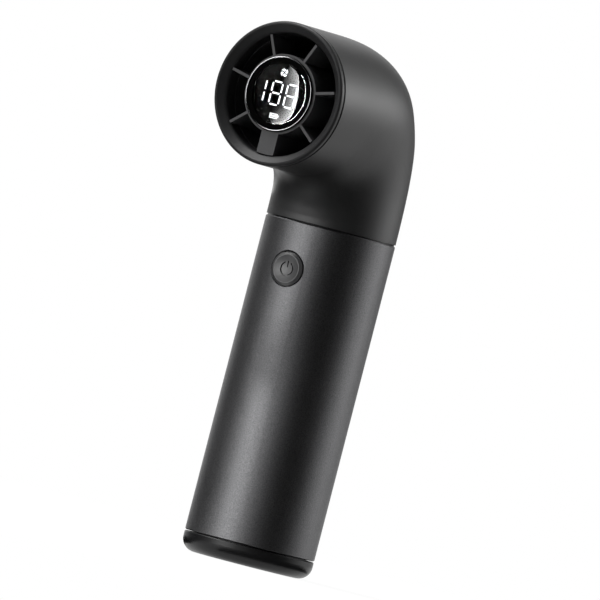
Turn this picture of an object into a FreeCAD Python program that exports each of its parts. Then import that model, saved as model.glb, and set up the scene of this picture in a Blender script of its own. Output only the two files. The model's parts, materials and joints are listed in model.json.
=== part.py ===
"""Car dryer blower: a hand-held turbo jet blower with a swept head on a straight battery handle.

Millimetres. The origin is the centre of the base face, on the handle's axis. +Z runs up the handle
and the nozzle faces -Y. The fan, duct and display pod share one axis, parallel to Y at NOZZLE_Z.
"""
import FreeCAD, Part
import math
import os

from FreeCAD import Vector

# Handle: an aluminium tube between an end cap and the head
HANDLE_R = 24.0
HANDLE_WALL = 2.0
TUBE_CHAMFER = 0.35
CAP_HEIGHT = 7.0
CAP_BASE_RADIUS = 19.0
CAP_FLOOR = 3.0
CAP_EDGE = 0.3
CAP_SEAM = 0.35
CAP_SPIGOT = 4.85
SPIGOT_WALL = 1.8
NECK_SEAM = 0.55
NECK_FLANGE_INSET = 0.5

# Head: an elbow that grows from the handle's circle to the nozzle's larger one
HEAD_WALL = 2.0
THROAT_R = 15.35
BACK_REACH = 55.2
BACK_POWER = 2.7
BACK_STEPS = 40
WAIST = 1.1
NOZZLE_R = 26.2
NOZZLE_STRAIGHT = 18.85
WIDTH_BLEND_DEG = 70.0
JOIN_TOLERANCE = 0.001
SHELL_EDGE = 0.4

# Nozzle ring
RING_DEPTH = 2.7
RING_GROOVE = 0.5
RING_GROOVE_DEPTH = 0.9
RING_LIP_WIDTH = 1.2
RING_LIP_FLAT = 0.15
RING_BEVEL = 2.4
RING_SPIGOT = 5.0

# Duct, vanes and hub
SLEEVE_ROOM = 2.0
HUB_R = 14.5
HUB_WALL = 1.3
SLEEVE_WALL = 1.1
SLEEVE_PAST_FAN = 10.3
GASKET_T = 1.0
VANE_COUNT = 7
VANE_T = 1.0
VANE_SET_BACK = 1.9
VANE_STRAIGHT = 13.0
VANE_TO_HUB_END = 1.0
VANE_TURN_DEG = 22.0
CABLE_VANE_WIDTH = 7.0
CABLE_VANE_WALL = 1.2
CABLE_VANE_FRONT = 2.4
BULKHEAD_T = 2.8

# Fan
TIP_CLEARANCE = 0.3
BLADE_COUNT = 13
BLADE_LENGTH = 12.0
BLADE_T = 1.1
BLADE_HUB_DEG = 34.0
BLADE_TIP_DEG = 56.0
BLADE_CAMBER = 0.10
FAN_GAP = 0.7
FAN_NOSE_LENGTH = 17.0
NOSE_R = 4.2
FAN_BOSS_R = 3.6
FAN_RIM_WALL = 1.5
FAN_HOLLOW_DEPTH = 7.0
NUT_FLATS = 5.5
NUT_HEIGHT = 2.4

# Motor
SHAFT_R = 1.5
BEARING_R = 3.5
BEARING_WIDTH = 3.0
MAGNET_R = 4.9
AIR_GAP = 0.4
STATOR_YOKE = 2.0
STATOR_LENGTH = 8.0
TOOTH_COUNT = 6
TOOTH_WIDTH = 2.4
SHOE_HEIGHT = 1.0
COIL_T = 1.3
COIL_LENGTH = 10.6
LEAD_ROOM = 3.95
PLATE_T = 3.0
PLATE_INSET = 0.4

# Display pod, depths behind the nozzle's front plane
CHROME_INSET = 1.2
CHROME_WIDTH = 0.4
CHROME_DEPTH = 0.67
LENS_INSET = 2.1
LENS_EDGE_DEPTH = 1.0
LENS_SAG = 0.9
LENS_BACK_DEPTH = 2.7
MODULE_T = 2.0
MODULE_INSET = 0.2
BOARD_T = 1.2
BEZEL_SPIGOT = 2.0

# Lit marks on the display
DIGIT_HEIGHT = 8.2
DIGIT_WIDTH = 3.95
DIGIT_PITCH = 6.05
ONE_GAP = 2.75
STROKE = 0.5
STROKE_GAP = 0.5
MARK_T = 0.35
FAN_ICON_Z = 7.75
FAN_ICON_R = 1.4
FAN_ICON_HUB = 0.35
FAN_ICON_BLADES = 4
BATTERY_ICON_Z = -8.0
BATTERY_ICON_W = 3.3
BATTERY_ICON_H = 1.8
BATTERY_ICON_LINE = 0.3
BATTERY_ICON_BARS = 3
ICON_X = -0.4

# Rear air intake
INTAKE_MARGIN = 5.2
GRILLE_RECESS = 0.2
GRILLE_T = 1.2
GRILLE_LEDGE = 1.2
GRILLE_EDGE_GAP = 0.2
SLOT_WIDTH = 2.2
SLOT_PITCH = 3.9
SLOT_MARGIN = 3.4
SLOT_RIB = 2.4
BELL_LENGTH = 6.4
BELL_WALL = 0.85
BELL_FLARE = 0.5

# Power button, on the nozzle's side of the handle
BUTTON_DROP = 17.4
BUTTON_R = 6.3
BUTTON_GAP = 0.28
BUTTON_PROUD = 0.15
BUTTON_EDGE = 0.2
BUTTON_RIM = 1.05
BUTTON_RIM_DROP = 0.65
BUTTON_DISH_R = 5.0
BUTTON_DISH = 0.75
BUTTON_TRAVEL = 0.8
BUTTON_SKIRT = 4.1
BUTTON_FACE_T = 2.0
STEM_R = 3.0
HOLE_CHAMFER = 0.25
SYMBOL_R = 2.45
SYMBOL_STROKE = 0.5
SYMBOL_DEPTH = 1.15
SYMBOL_GAP_DEG = 28.0
GUIDE_R = 9.4
GUIDE_WEB = 0.9
CLIP_T = 0.6
SEAL_R = 0.45

# Battery pack: three standard 18650 cells in a triangle
CELL_R = 9.2
CELL_LENGTH = 65.0
CELL_COUNT = 3
CELL_RING = 10.8
CELL_Z = 14.0
CUP_DEPTH = 6.0
CUP_WALL = 1.2
STRAP_T = 0.3
PLATE_THICK = 1.5

# Tie rods: three long M3 screws that clamp the whole handle and head together
ROD_R = 1.5
ROD_RING = 16.0
ROD_HEAD_R = 2.75
ROD_HEAD_H = 2.2
HEAD_SINK = 2.6
COLUMN_R = 2.6
BOSS_R = 3.6
BOSS_LENGTH = 8.0
INSERT_WALL = 0.8
LUG_HEIGHT = 4.05
WEB_T = 2.0
COUPLER_WALL = 1.6
COUPLER_DROP = 7.4

# Control board
BOARD_WIDTH = 33.0
BOARD_LENGTH = 32.0
BOARD_ROOM = 3.2
BOARD_HEADROOM = 1.0
BOARD_SCREW_R = 0.8
BOARD_SCREW_INSET = 3.0
CHARGE_LEAD_X = 9.4
CHARGE_LEAD_Y = -17.3
CHARGE_PAD_X = 6.8
PCB_T = 1.6
SWITCH_SIZE = 6.0
SWITCH_H = 3.5
PLUNGER_R = 1.7
PLUNGER_REACH = 1.2
LEAD_R = 0.55
LEAD_PITCH = 1.45
LEAD_BEND = 1.6
FLEX_T = 0.3
FLEX_WIDTH = 4.0
FLEX_BEND = 1.0
FLEX_WAY_OUT = 1.8
FLEX_LAST_DEG = 70.0

# Charging socket, facing down through the base
USB_WIDTH = 8.94
USB_HEIGHT = 3.26
USB_DEPTH = 7.3
USB_WALL = 0.35
USB_TONGUE_T = 0.7
USB_RECESS = 1.0
CHARGE_BOARD_X = 18.0
CHARGE_BOARD_Y = 15.0

# Fits
FIT = 0.1
SLIDE_FIT = 0.15
SEAT = 0.02
RUNNING_FIT = 0.03

# Places that follow from the sizes above
TUBE_Z0 = CAP_HEIGHT + CAP_SEAM
CELL_FLOOR = CELL_Z - STRAP_T - PLATE_THICK
CELL_TOP = CELL_Z + CELL_LENGTH + STRAP_T
BOARD_Z0 = CELL_TOP + PLATE_THICK + BOARD_ROOM
BOARD_Z1 = BOARD_Z0 + BOARD_LENGTH
TUBE_Z1 = BOARD_Z1 + BOARD_HEADROOM + COUPLER_DROP
BUTTON_Z = TUBE_Z1 - BUTTON_DROP
HEAD_Z0 = TUBE_Z1 + NECK_SEAM
TUBE_BORE = HANDLE_R - HANDLE_WALL
BEND_Y = -(HANDLE_R + THROAT_R)
NOZZLE_Z = HEAD_Z0 + THROAT_R + NOZZLE_R
NOZZLE_BORE = NOZZLE_R - HEAD_WALL
RING_LIP_R = NOZZLE_R - RING_LIP_WIDTH
DUCT_R = NOZZLE_BORE - SLEEVE_ROOM
INTAKE_R = NOZZLE_R - INTAKE_MARGIN
SLOT_FIELD_R = INTAKE_R - SLOT_MARGIN
CHROME_R = HUB_R - CHROME_INSET
LENS_R = CHROME_R - LENS_INSET
MODULE_R = LENS_R - MODULE_INSET
SHELL_FRONT = BEND_Y - NOZZLE_STRAIGHT
FRONT_Y = SHELL_FRONT - RING_DEPTH
RING_REAR = SHELL_FRONT + RING_SPIGOT
SLEEVE_FRONT = RING_REAR + GASKET_T
VANE_FRONT = FRONT_Y + VANE_SET_BACK
HUB_BORE = HUB_R - HUB_WALL
LENS_BACK = FRONT_Y + LENS_BACK_DEPTH
MODULE_REAR = LENS_BACK + MARK_T + MODULE_T
DISPLAY_BOARD_REAR = MODULE_REAR + BOARD_T
BULKHEAD_FRONT = DISPLAY_BOARD_REAR + 1.5
BULKHEAD_REAR = BULKHEAD_FRONT + BULKHEAD_T
COIL_FRONT = BULKHEAD_REAR + 0.4
COIL_REAR = COIL_FRONT + COIL_LENGTH
STATOR_FRONT = COIL_FRONT + (COIL_LENGTH - STATOR_LENGTH) / 2
STATOR_REAR = STATOR_FRONT + STATOR_LENGTH
PLATE_FRONT = COIL_REAR + LEAD_ROOM
PLATE_REAR = PLATE_FRONT + PLATE_T
HUB_REAR = PLATE_REAR + PLATE_INSET
VANE_REAR = HUB_REAR - VANE_TO_HUB_END
VANE_LENGTH = VANE_REAR - VANE_FRONT
CABLE_VANE_REAR = VANE_REAR + 1.3
FAN_FRONT = HUB_REAR + FAN_GAP
SLEEVE_REAR_Y = FAN_FRONT + SLEEVE_PAST_FAN
BELL_REAR_Y = SLEEVE_REAR_Y + BELL_LENGTH
BLADE_FRONT = FAN_FRONT + 0.8
BLADE_TIP_R = DUCT_R - TIP_CLEARANCE
NOSE_REAR = FAN_FRONT + FAN_NOSE_LENGTH
FRAME_TOP = HEAD_Z0 + LUG_HEIGHT - WEB_T - SEAT
BOARD_Y = -(ROD_RING * math.sin(math.radians(30)) + COLUMN_R)
BOARD_FACE = BOARD_Y - PCB_T
SWITCH_FACE = BOARD_FACE - SWITCH_H
PLUNGER_TOP = SWITCH_FACE - PLUNGER_REACH
BUTTON_TOP = -(HANDLE_R + BUTTON_PROUD)
SKIRT_END = BUTTON_TOP + BUTTON_SKIRT
GUIDE_WEB_Y = SKIRT_END + BUTTON_TRAVEL + 0.2
GUIDE_END = GUIDE_WEB_Y + GUIDE_WEB
CELL_ANGLES = [270 + k * 360 / CELL_COUNT for k in range(CELL_COUNT)]
ROD_ANGLES = [angle + 180 for angle in CELL_ANGLES]

X_AXIS = Vector(1, 0, 0)
Y_AXIS = Vector(0, 1, 0)
Z_AXIS = Vector(0, 0, 1)
NOZZLE_CENTRE = Vector(0, 0, NOZZLE_Z)


# Drawing helpers

def rounded_wire(corners, place):
    """Closed wire through (u, v, fillet radius) corners, each put in space by place(u, v)."""
    edges = []
    count = len(corners)
    starts = []
    ends = []
    for i, (u, v, radius) in enumerate(corners):
        here = Vector(u, v, 0)
        before = Vector(corners[i - 1][0], corners[i - 1][1], 0) - here
        after = Vector(corners[(i + 1) % count][0], corners[(i + 1) % count][1], 0) - here
        before.normalize()
        after.normalize()
        if radius <= 0:
            starts.append(here)
            ends.append(here)
            continue
        half = before.getAngle(after) / 2
        run = radius / math.tan(half)
        bisector = (before + after).normalize()
        start = here + before * run
        end = here + after * run
        middle = here + bisector * (radius / math.sin(half) - radius)
        starts.append(start)
        ends.append(end)
        edges.append((i, Part.Arc(place(start.x, start.y), place(middle.x, middle.y), place(end.x, end.y))))
    arcs = dict(edges)
    pieces = []
    for i in range(count):
        if i in arcs:
            pieces.append(arcs[i].toShape())
        a = ends[i]
        b = starts[(i + 1) % count]
        if (b - a).Length > 1e-6:
            pieces.append(Part.makeLine(place(a.x, a.y), place(b.x, b.y)))
    return Part.Wire(pieces)


def sharp(points):
    return [(p[0], p[1], p[2] if len(p) > 2 else 0) for p in points]


def turn_nozzle(points):
    """Solid of revolution about the nozzle's axis, from (radius, y[, fillet]) corners."""
    wire = rounded_wire(sharp(points), lambda r, y: Vector(0, y, NOZZLE_Z + r))
    return Part.Face(wire).revolve(NOZZLE_CENTRE, Y_AXIS, 360)


def turn_handle(points):
    """Solid of revolution about the handle's axis, from (radius, z[, fillet]) corners."""
    wire = rounded_wire(sharp(points), lambda r, z: Vector(r, 0, z))
    return Part.Face(wire).revolve(Vector(0, 0, 0), Z_AXIS, 360)


def turn_button(points):
    """Solid of revolution about the button's axis, from (radius, y[, fillet]) corners."""
    wire = rounded_wire(sharp(points), lambda r, y: Vector(r, y, BUTTON_Z))
    return Part.Face(wire).revolve(Vector(0, 0, BUTTON_Z), Y_AXIS, 360)


def rod_y(radius, y0, y1, x=0.0, z=NOZZLE_Z):
    return Part.makeCylinder(radius, y1 - y0, Vector(x, y0, z), Y_AXIS)


def rod_z(radius, z0, z1, x=0.0, y=0.0):
    return Part.makeCylinder(radius, z1 - z0, Vector(x, y, z0), Z_AXIS)


def block(x0, x1, y0, y1, z0, z1):
    return Part.makeBox(x1 - x0, y1 - y0, z1 - z0, Vector(x0, y0, z0))


def join(shapes):
    shapes = list(shapes)
    return shapes[0].multiFuse(shapes[1:]).removeSplitter() if len(shapes) > 1 else shapes[0]


def on_ring(radius, angle):
    """Point (x, y) on a circle about the handle's axis, at an angle in degrees from +X."""
    return radius * math.cos(math.radians(angle)), radius * math.sin(math.radians(angle))


def about_nozzle(shape, degrees):
    copy = shape.copy()
    copy.rotate(NOZZLE_CENTRE, Y_AXIS, degrees)
    return copy


# Head shell: the elbow

def back_distance(angle):
    """Distance from the bend's axis to the back of the elbow, at an angle up from the seam plane.

    The back runs straight up and the top straight forward, and a quarter of a superellipse joins them.
    """
    along = math.cos(angle)
    up = math.sin(angle)
    arc_y = 2 * HANDLE_R + THROAT_R - BACK_REACH
    arc_z = 2 * NOZZLE_R + THROAT_R - BACK_REACH
    inside = 0.0
    outside = 4 * BACK_REACH
    for _ in range(BACK_STEPS):
        middle = (inside + outside) / 2
        y = max(middle * along - arc_y, 0.0) / BACK_REACH
        z = max(middle * up - arc_z, 0.0) / BACK_REACH
        if y ** BACK_POWER + z ** BACK_POWER < 1:
            inside = middle
        else:
            outside = middle
    return inside


def blend_width(degrees):
    """Half width of the elbow across X: the handle's at the seam, the nozzle's in front, a waist between."""
    step = min(max(degrees / WIDTH_BLEND_DEG, 0.0), 1.0)
    even = HANDLE_R + (NOZZLE_R - HANDLE_R) * step * step * (3 - 2 * step)
    return even - WAIST * math.sin(math.pi * step) ** 2


def oval(centre, out, half_out, half_width, points=24):
    """Closed smooth curve: an ellipse with one axis along out and the other along X."""
    turns = [2 * math.pi * k / points for k in range(points)]
    ring = [centre + out * (half_out * math.cos(t)) + X_AXIS * (half_width * math.sin(t)) for t in turns]
    curve = Part.BSplineCurve()
    curve.interpolate(Points=ring, PeriodicFlag=True)
    return Part.Wire([curve.toShape()])


def elbow(inset, step_deg=10.0, run_on=6.0):
    """The elbow's solid, drawn in by inset on every side and run on past both ends.

    The bend is a loft. The nozzle end ahead of it is a true cylinder.
    """
    sections = []
    for k in (3, 2, 1):
        centre = Vector(0, 0, HEAD_Z0 - k * run_on / 2)
        sections.append(oval(centre, Y_AXIS, HANDLE_R - inset, HANDLE_R - inset))
    count = round(90 / step_deg)
    for k in range(count + 1):
        degrees = 90 * k / count
        angle = math.radians(degrees)
        out = Vector(0, math.cos(angle), math.sin(angle))
        near = THROAT_R + inset
        far = back_distance(angle) - inset
        centre = Vector(0, BEND_Y, HEAD_Z0) + out * ((near + far) / 2)
        sections.append(oval(centre, out, (far - near) / 2, blend_width(degrees) - inset))
    reach = NOZZLE_STRAIGHT + run_on
    for k in range(1, 5):
        centre = Vector(0, BEND_Y - reach * k / 4, NOZZLE_Z)
        sections.append(oval(centre, Z_AXIS, NOZZLE_R - inset, NOZZLE_R - inset))
    far = 3 * NOZZLE_R
    ahead = block(-far, far, BEND_Y - 2 * reach, BEND_Y, NOZZLE_Z - far, NOZZLE_Z + far)
    bend = Part.makeLoft(sections, True, False).cut(ahead)
    return bend.fuse([rod_y(NOZZLE_R - inset, BEND_Y - reach, BEND_Y)], JOIN_TOLERANCE)


def head_bosses(skin):
    """Bosses for the tie rods, run out to the wall and kept inside the elbow's skin."""
    z0 = HEAD_Z0 + LUG_HEIGHT + SEAT
    z1 = z0 + BOSS_LENGTH
    bosses = []
    for angle in ROD_ANGLES:
        rib = block(ROD_RING, HANDLE_R, -BOSS_R * 0.6, BOSS_R * 0.6, z0, z1)
        rib.rotate(Vector(0, 0, 0), Z_AXIS, angle)
        bosses.append(join([rod_z(BOSS_R, z0, z1, *on_ring(ROD_RING, angle)), rib]))
    return [boss.common(skin) for boss in bosses]


def insert_hole(angle, grow=0.0):
    z0 = HEAD_Z0 + LUG_HEIGHT + SEAT
    return rod_z(ROD_R + INSERT_WALL + grow, z0, z0 + BOSS_LENGTH - 1.5, *on_ring(ROD_RING, angle))


def make_head_shell():
    skin = elbow(0)
    shell = skin.cut(elbow(HEAD_WALL))
    shell = join([shell] + head_bosses(elbow(HEAD_WALL / 2)))
    shell = shell.cut(join(insert_hole(angle) for angle in ROD_ANGLES))
    far = 3 * HANDLE_R
    below = block(-far, far, -far * 2, far * 2, HEAD_Z0 - far, HEAD_Z0)
    ahead = block(-far, far, SHELL_FRONT - far, SHELL_FRONT, NOZZLE_Z - far, NOZZLE_Z + far)
    shell = shell.cut(join([below, ahead]))
    edge = turn_nozzle([(NOZZLE_R + 1, SHELL_FRONT - 1), (NOZZLE_R + 1, SHELL_FRONT + SHELL_EDGE + 1),
                        (NOZZLE_R - SHELL_EDGE - 1, SHELL_FRONT - 1)])
    shell = shell.cut(edge)
    window = rod_y(INTAKE_R, 0, 2 * HANDLE_R)
    rebate = window.cut(elbow(GRILLE_RECESS + GRILLE_T))
    opening = rod_y(INTAKE_R - GRILLE_LEDGE, 0, 2 * HANDLE_R)
    return shell.cut(rebate).cut(opening)


def slot(x0, x1, z):
    """One through slot with round ends, cut along Y."""
    half = SLOT_WIDTH / 2
    body = block(x0 + half, x1 - half, 0, 2 * HANDLE_R, z - half, z + half)
    ends = [rod_y(half, 0, 2 * HANDLE_R, x, z) for x in (x0 + half, x1 - half)]
    return join([body] + ends)


def intake_slots():
    rows = int(SLOT_FIELD_R // SLOT_PITCH)
    cuts = []
    for row in range(-rows, rows + 1):
        offset = row * SLOT_PITCH
        edge = abs(offset) + SLOT_WIDTH / 2
        if edge >= SLOT_FIELD_R:
            continue
        reach = math.sqrt(SLOT_FIELD_R ** 2 - edge ** 2)
        if reach - SLOT_RIB / 2 < 2 * SLOT_WIDTH:
            continue
        for side in (-1, 1):
            x0, x1 = sorted((side * SLOT_RIB / 2, side * reach))
            cuts.append(slot(x0, x1, NOZZLE_Z + offset))
    return cuts


def make_rear_grille():
    """Slotted cover that carries on the elbow's curve across the intake."""
    skin = elbow(GRILLE_RECESS).cut(elbow(GRILLE_RECESS + GRILLE_T - SEAT))
    plate = skin.common(rod_y(INTAKE_R - GRILLE_EDGE_GAP, 0, 2 * HANDLE_R))
    for cut in intake_slots():
        plate = plate.cut(cut)
    return plate


# Nozzle ring, duct and vanes

def make_nozzle_ring():
    edge = FRONT_Y + RING_BEVEL
    flange_rear = FRONT_Y + RING_DEPTH - RING_GROOVE
    groove_r = NOZZLE_R - RING_GROOVE_DEPTH
    spigot_r = NOZZLE_BORE - FIT
    lip = NOZZLE_R - RING_LIP_R - RING_LIP_FLAT
    return turn_nozzle([
        (RING_LIP_R, FRONT_Y),
        (NOZZLE_R, FRONT_Y, lip),
        (NOZZLE_R, flange_rear, 0.2),
        (groove_r, flange_rear),
        (groove_r, SHELL_FRONT - SEAT),
        (spigot_r, SHELL_FRONT - SEAT),
        (spigot_r, RING_REAR, 0.3),
        (DUCT_R, RING_REAR),
        (DUCT_R, edge, 2.0),
    ])


def make_duct_gasket():
    return turn_nozzle([(DUCT_R + FIT, RING_REAR + SEAT), (NOZZLE_BORE - FIT, RING_REAR + SEAT),
                        (NOZZLE_BORE - FIT, SLEEVE_FRONT - SEAT), (DUCT_R + FIT, SLEEVE_FRONT - SEAT)])


def vane_section(y, degrees, inner, outer, thickness):
    """Rectangle across a vane in the plane y, at an angle about the nozzle's axis from +Z."""
    angle = math.radians(degrees)
    out = Vector(math.sin(angle), 0, math.cos(angle))
    side = Vector(math.cos(angle), 0, -math.sin(angle))
    centre = Vector(0, y, NOZZLE_Z)
    half = thickness / 2
    corners = [(inner, -half), (outer, -half), (outer, half), (inner, half), (inner, -half)]
    return Part.makePolygon([centre + out * r + side * s for r, s in corners])


def vane_sweep(inner, outer, degrees):
    """A vane that runs straight from the front, then curves into the swirl that leaves the fan."""
    curved = VANE_LENGTH - VANE_STRAIGHT
    stations = [(VANE_FRONT + VANE_STRAIGHT * k / 3, 0.0) for k in range(4)]
    for k in range(1, 6):
        part = k / 5
        stations.append((VANE_FRONT + VANE_STRAIGHT + curved * part, -VANE_TURN_DEG * part ** 2))
    wires = [vane_section(y, degrees + turn, inner, outer, VANE_T) for y, turn in stations]
    return Part.makeLoft(wires, True, False)


def cable_vane():
    half = CABLE_VANE_WIDTH / 2
    return block(-half, half, VANE_FRONT, CABLE_VANE_REAR, NOZZLE_Z - DUCT_R - 0.6, NOZZLE_Z - HUB_BORE - 0.3)


def cable_channel():
    """Hollow of the wide vane, with its ways in through the hub and out through the sleeve."""
    half = CABLE_VANE_WIDTH / 2 - CABLE_VANE_WALL
    y0 = VANE_FRONT + CABLE_VANE_FRONT
    y1 = CABLE_VANE_REAR - 0.7
    hollow = block(-half, half, y0, y1, NOZZLE_Z - DUCT_R + 0.8, NOZZLE_Z - HUB_R - 0.4)
    flex_way = block(-half, half, DISPLAY_BOARD_REAR + 0.2, BULKHEAD_FRONT - 0.1,
                     NOZZLE_Z - DUCT_R + 2, NOZZLE_Z - HUB_BORE + 1)
    lead_way = block(-half, half, COIL_REAR, PLATE_FRONT - 0.1,
                     NOZZLE_Z - DUCT_R + 2, NOZZLE_Z - HUB_BORE + 1)
    way_out = block(-half, half, y1 - 4.6, y1, NOZZLE_Z - NOZZLE_R, NOZZLE_Z - DUCT_R + 2)
    way_on = block(-half, half, y1 - 1, y1 + 1.6, NOZZLE_Z - NOZZLE_R, NOZZLE_Z - DUCT_R)
    return join([hollow, flex_way, lead_way, way_out, way_on])


def make_duct_stator():
    """One moulding: sleeve, hub, bulkhead, thin vanes and the wide vane that hides the cables."""
    collar_rear = BEND_Y
    bell_seat = DUCT_R + BELL_WALL + FIT / 2
    sleeve = turn_nozzle([
        (DUCT_R, SLEEVE_FRONT), (NOZZLE_BORE - FIT, SLEEVE_FRONT, 0.3), (NOZZLE_BORE - FIT, collar_rear, 0.4),
        (DUCT_R + SLEEVE_WALL, collar_rear + 0.8), (DUCT_R + SLEEVE_WALL, SLEEVE_REAR_Y),
        (bell_seat, SLEEVE_REAR_Y), (bell_seat, SLEEVE_REAR_Y - 2), (DUCT_R, SLEEVE_REAR_Y - 2)])
    hub = turn_nozzle([
        (HUB_BORE, VANE_FRONT), (HUB_R, VANE_FRONT), (HUB_R, HUB_REAR, 0.3), (HUB_BORE, HUB_REAR)])
    bulkhead = turn_nozzle([
        (SHAFT_R + 0.6, BULKHEAD_FRONT), (HUB_BORE + 0.5, BULKHEAD_FRONT), (HUB_BORE + 0.5, BULKHEAD_REAR - 1),
        (BEARING_R + 2, BULKHEAD_REAR - 1), (BEARING_R + 2, BULKHEAD_REAR),
        (BEARING_R + SEAT, BULKHEAD_REAR), (BEARING_R + SEAT, BULKHEAD_REAR - 2), (SHAFT_R + 0.6, BULKHEAD_REAR - 2)])
    vanes = []
    for k in range(1, VANE_COUNT):
        vanes.append(vane_sweep(HUB_BORE + 0.4, DUCT_R + 0.7, 180 + k * 360 / VANE_COUNT))
    body = join([sleeve, hub, bulkhead, cable_vane()] + vanes)
    ring_room = turn_nozzle([
        (DUCT_R - FIT / 2, FRONT_Y - 1), (NOZZLE_R, FRONT_Y - 1),
        (NOZZLE_R, SLEEVE_FRONT), (DUCT_R - FIT / 2, SLEEVE_FRONT)])
    return body.cut(ring_room).cut(cable_channel())


def make_inlet_bell():
    """Thin ring that leads the air into the fan, flared at its mouth."""
    bore = DUCT_R
    outer = DUCT_R + BELL_WALL
    return turn_nozzle([
        (bore, SLEEVE_REAR_Y - 2 + SEAT), (outer, SLEEVE_REAR_Y - 2 + SEAT), (outer, BELL_REAR_Y, 0.15),
        (bore + BELL_FLARE, BELL_REAR_Y, 0.1), (bore, BELL_REAR_Y - 2.5, 3.0)])


# Motor

def make_motor_shaft():
    return turn_nozzle([
        (0, BULKHEAD_FRONT + 0.1), (SHAFT_R, BULKHEAD_FRONT + 0.1, 0.2),
        (SHAFT_R, NOSE_REAR + NUT_HEIGHT, 0.2), (0, NOSE_REAR + NUT_HEIGHT)])


def bearing(front, back):
    """Sealed ball bearing as one ring, with a relief where the shield sits."""
    split = BEARING_R * 0.82
    inner = SHAFT_R + RUNNING_FIT
    return turn_nozzle([
        (inner, front), (inner + 0.5, front), (inner + 0.5, front + 0.2), (split, front + 0.2), (split, front),
        (BEARING_R, front, 0.15), (BEARING_R, back, 0.15), (split, back), (split, back - 0.2),
        (inner + 0.5, back - 0.2), (inner + 0.5, back), (inner, back)])


def make_front_bearing():
    return bearing(BULKHEAD_REAR - 2 + SEAT, BULKHEAD_REAR - 2 + SEAT + BEARING_WIDTH)


def make_rear_bearing():
    return bearing(PLATE_REAR - 0.3 - BEARING_WIDTH, PLATE_REAR - 0.3)


def make_bearing_plate():
    """Rear end plate of the motor, with three windows for cooling air."""
    seat = BEARING_R + SEAT
    outer = HUB_BORE - SEAT
    plate = turn_nozzle([
        (SHAFT_R + 0.6, PLATE_REAR), (SHAFT_R + 0.6, PLATE_REAR - 0.28), (seat, PLATE_REAR - 0.28),
        (seat, PLATE_FRONT), (BEARING_R + 1.6, PLATE_FRONT), (BEARING_R + 1.6, PLATE_REAR - 1.4),
        (outer - 1.4, PLATE_REAR - 1.4), (outer - 1.4, PLATE_REAR - 2.4), (outer, PLATE_REAR - 2.4),
        (outer, PLATE_REAR, 0.2)])
    middle = (BEARING_R + 1.6 + outer - 1.4) / 2
    windows = [about_nozzle(rod_y(1.9, PLATE_FRONT - 1, PLATE_REAR + 1, 0, NOZZLE_Z + middle), 60 * k)
               for k in range(6)]
    return plate.cut(join(windows))


def make_rotor_magnet():
    return turn_nozzle([
        (SHAFT_R, STATOR_FRONT - 0.5), (MAGNET_R, STATOR_FRONT - 0.5, 0.3),
        (MAGNET_R, STATOR_REAR + 0.5, 0.3), (SHAFT_R, STATOR_REAR + 0.5)])


def make_stator_core():
    """Laminated yoke with inward teeth and pole shoes."""
    outer = HUB_BORE - SEAT
    bore = MAGNET_R + AIR_GAP
    yoke = turn_nozzle([(outer - STATOR_YOKE, STATOR_FRONT), (outer, STATOR_FRONT),
                        (outer, STATOR_REAR), (outer - STATOR_YOKE, STATOR_REAR)])
    shoes = turn_nozzle([(bore, STATOR_FRONT), (bore + SHOE_HEIGHT, STATOR_FRONT),
                         (bore + SHOE_HEIGHT, STATOR_REAR), (bore, STATOR_REAR)])
    half = TOOTH_WIDTH / 2
    tooth = block(-half, half, STATOR_FRONT, STATOR_REAR,
                  NOZZLE_Z + bore + SHOE_HEIGHT / 2, NOZZLE_Z + outer - STATOR_YOKE / 2)
    gap = block(-0.35, 0.35, STATOR_FRONT, STATOR_REAR, NOZZLE_Z, NOZZLE_Z + bore + SHOE_HEIGHT + 0.1)
    pitch = 360 / TOOTH_COUNT
    teeth = [about_nozzle(tooth, k * pitch) for k in range(TOOTH_COUNT)]
    gaps = [about_nozzle(gap, (k + 0.5) * pitch) for k in range(TOOTH_COUNT)]
    return join([yoke, shoes.cut(join(gaps))] + teeth)


def make_stator_windings():
    """One round-ended coil about each tooth."""
    bore = MAGNET_R + AIR_GAP + SHOE_HEIGHT + 0.1
    top = HUB_BORE - SEAT - STATOR_YOKE - 0.1
    inner = TOOTH_WIDTH / 2 + 0.05
    outer = inner + COIL_T
    middle = (COIL_FRONT + COIL_REAR) / 2
    reach = STATOR_LENGTH / 2 + 0.05
    corners = [(-1, -1), (1, -1), (1, 1), (-1, 1)]

    def loop(half_x, half_y, radius):
        points = [(sx * half_x, middle + sy * half_y, radius) for sx, sy in corners]
        wire = rounded_wire(points, lambda x, y: Vector(x, y, NOZZLE_Z + bore))
        return Part.Face(wire).extrude(Z_AXIS * (top - bore))

    coil = loop(outer, COIL_LENGTH / 2, 1.3).cut(loop(inner, reach, 0.1))
    wedge_angle = math.radians(180 / TOOTH_COUNT)
    side = (top + 2) * math.tan(wedge_angle) - 0.15
    wedge = Part.Face(Part.makePolygon([
        Vector(0, COIL_FRONT - 1, NOZZLE_Z + 0.3), Vector(side, COIL_FRONT - 1, NOZZLE_Z + top + 2),
        Vector(-side, COIL_FRONT - 1, NOZZLE_Z + top + 2), Vector(0, COIL_FRONT - 1, NOZZLE_Z + 0.3)]))
    coil = coil.common(wedge.extrude(Y_AXIS * (COIL_LENGTH + 2)))
    coil = coil.common(rod_y(top, COIL_FRONT - 1, COIL_REAR + 1))
    return Part.makeCompound([about_nozzle(coil, k * 360 / TOOTH_COUNT) for k in range(TOOTH_COUNT)])


# Fan

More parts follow.
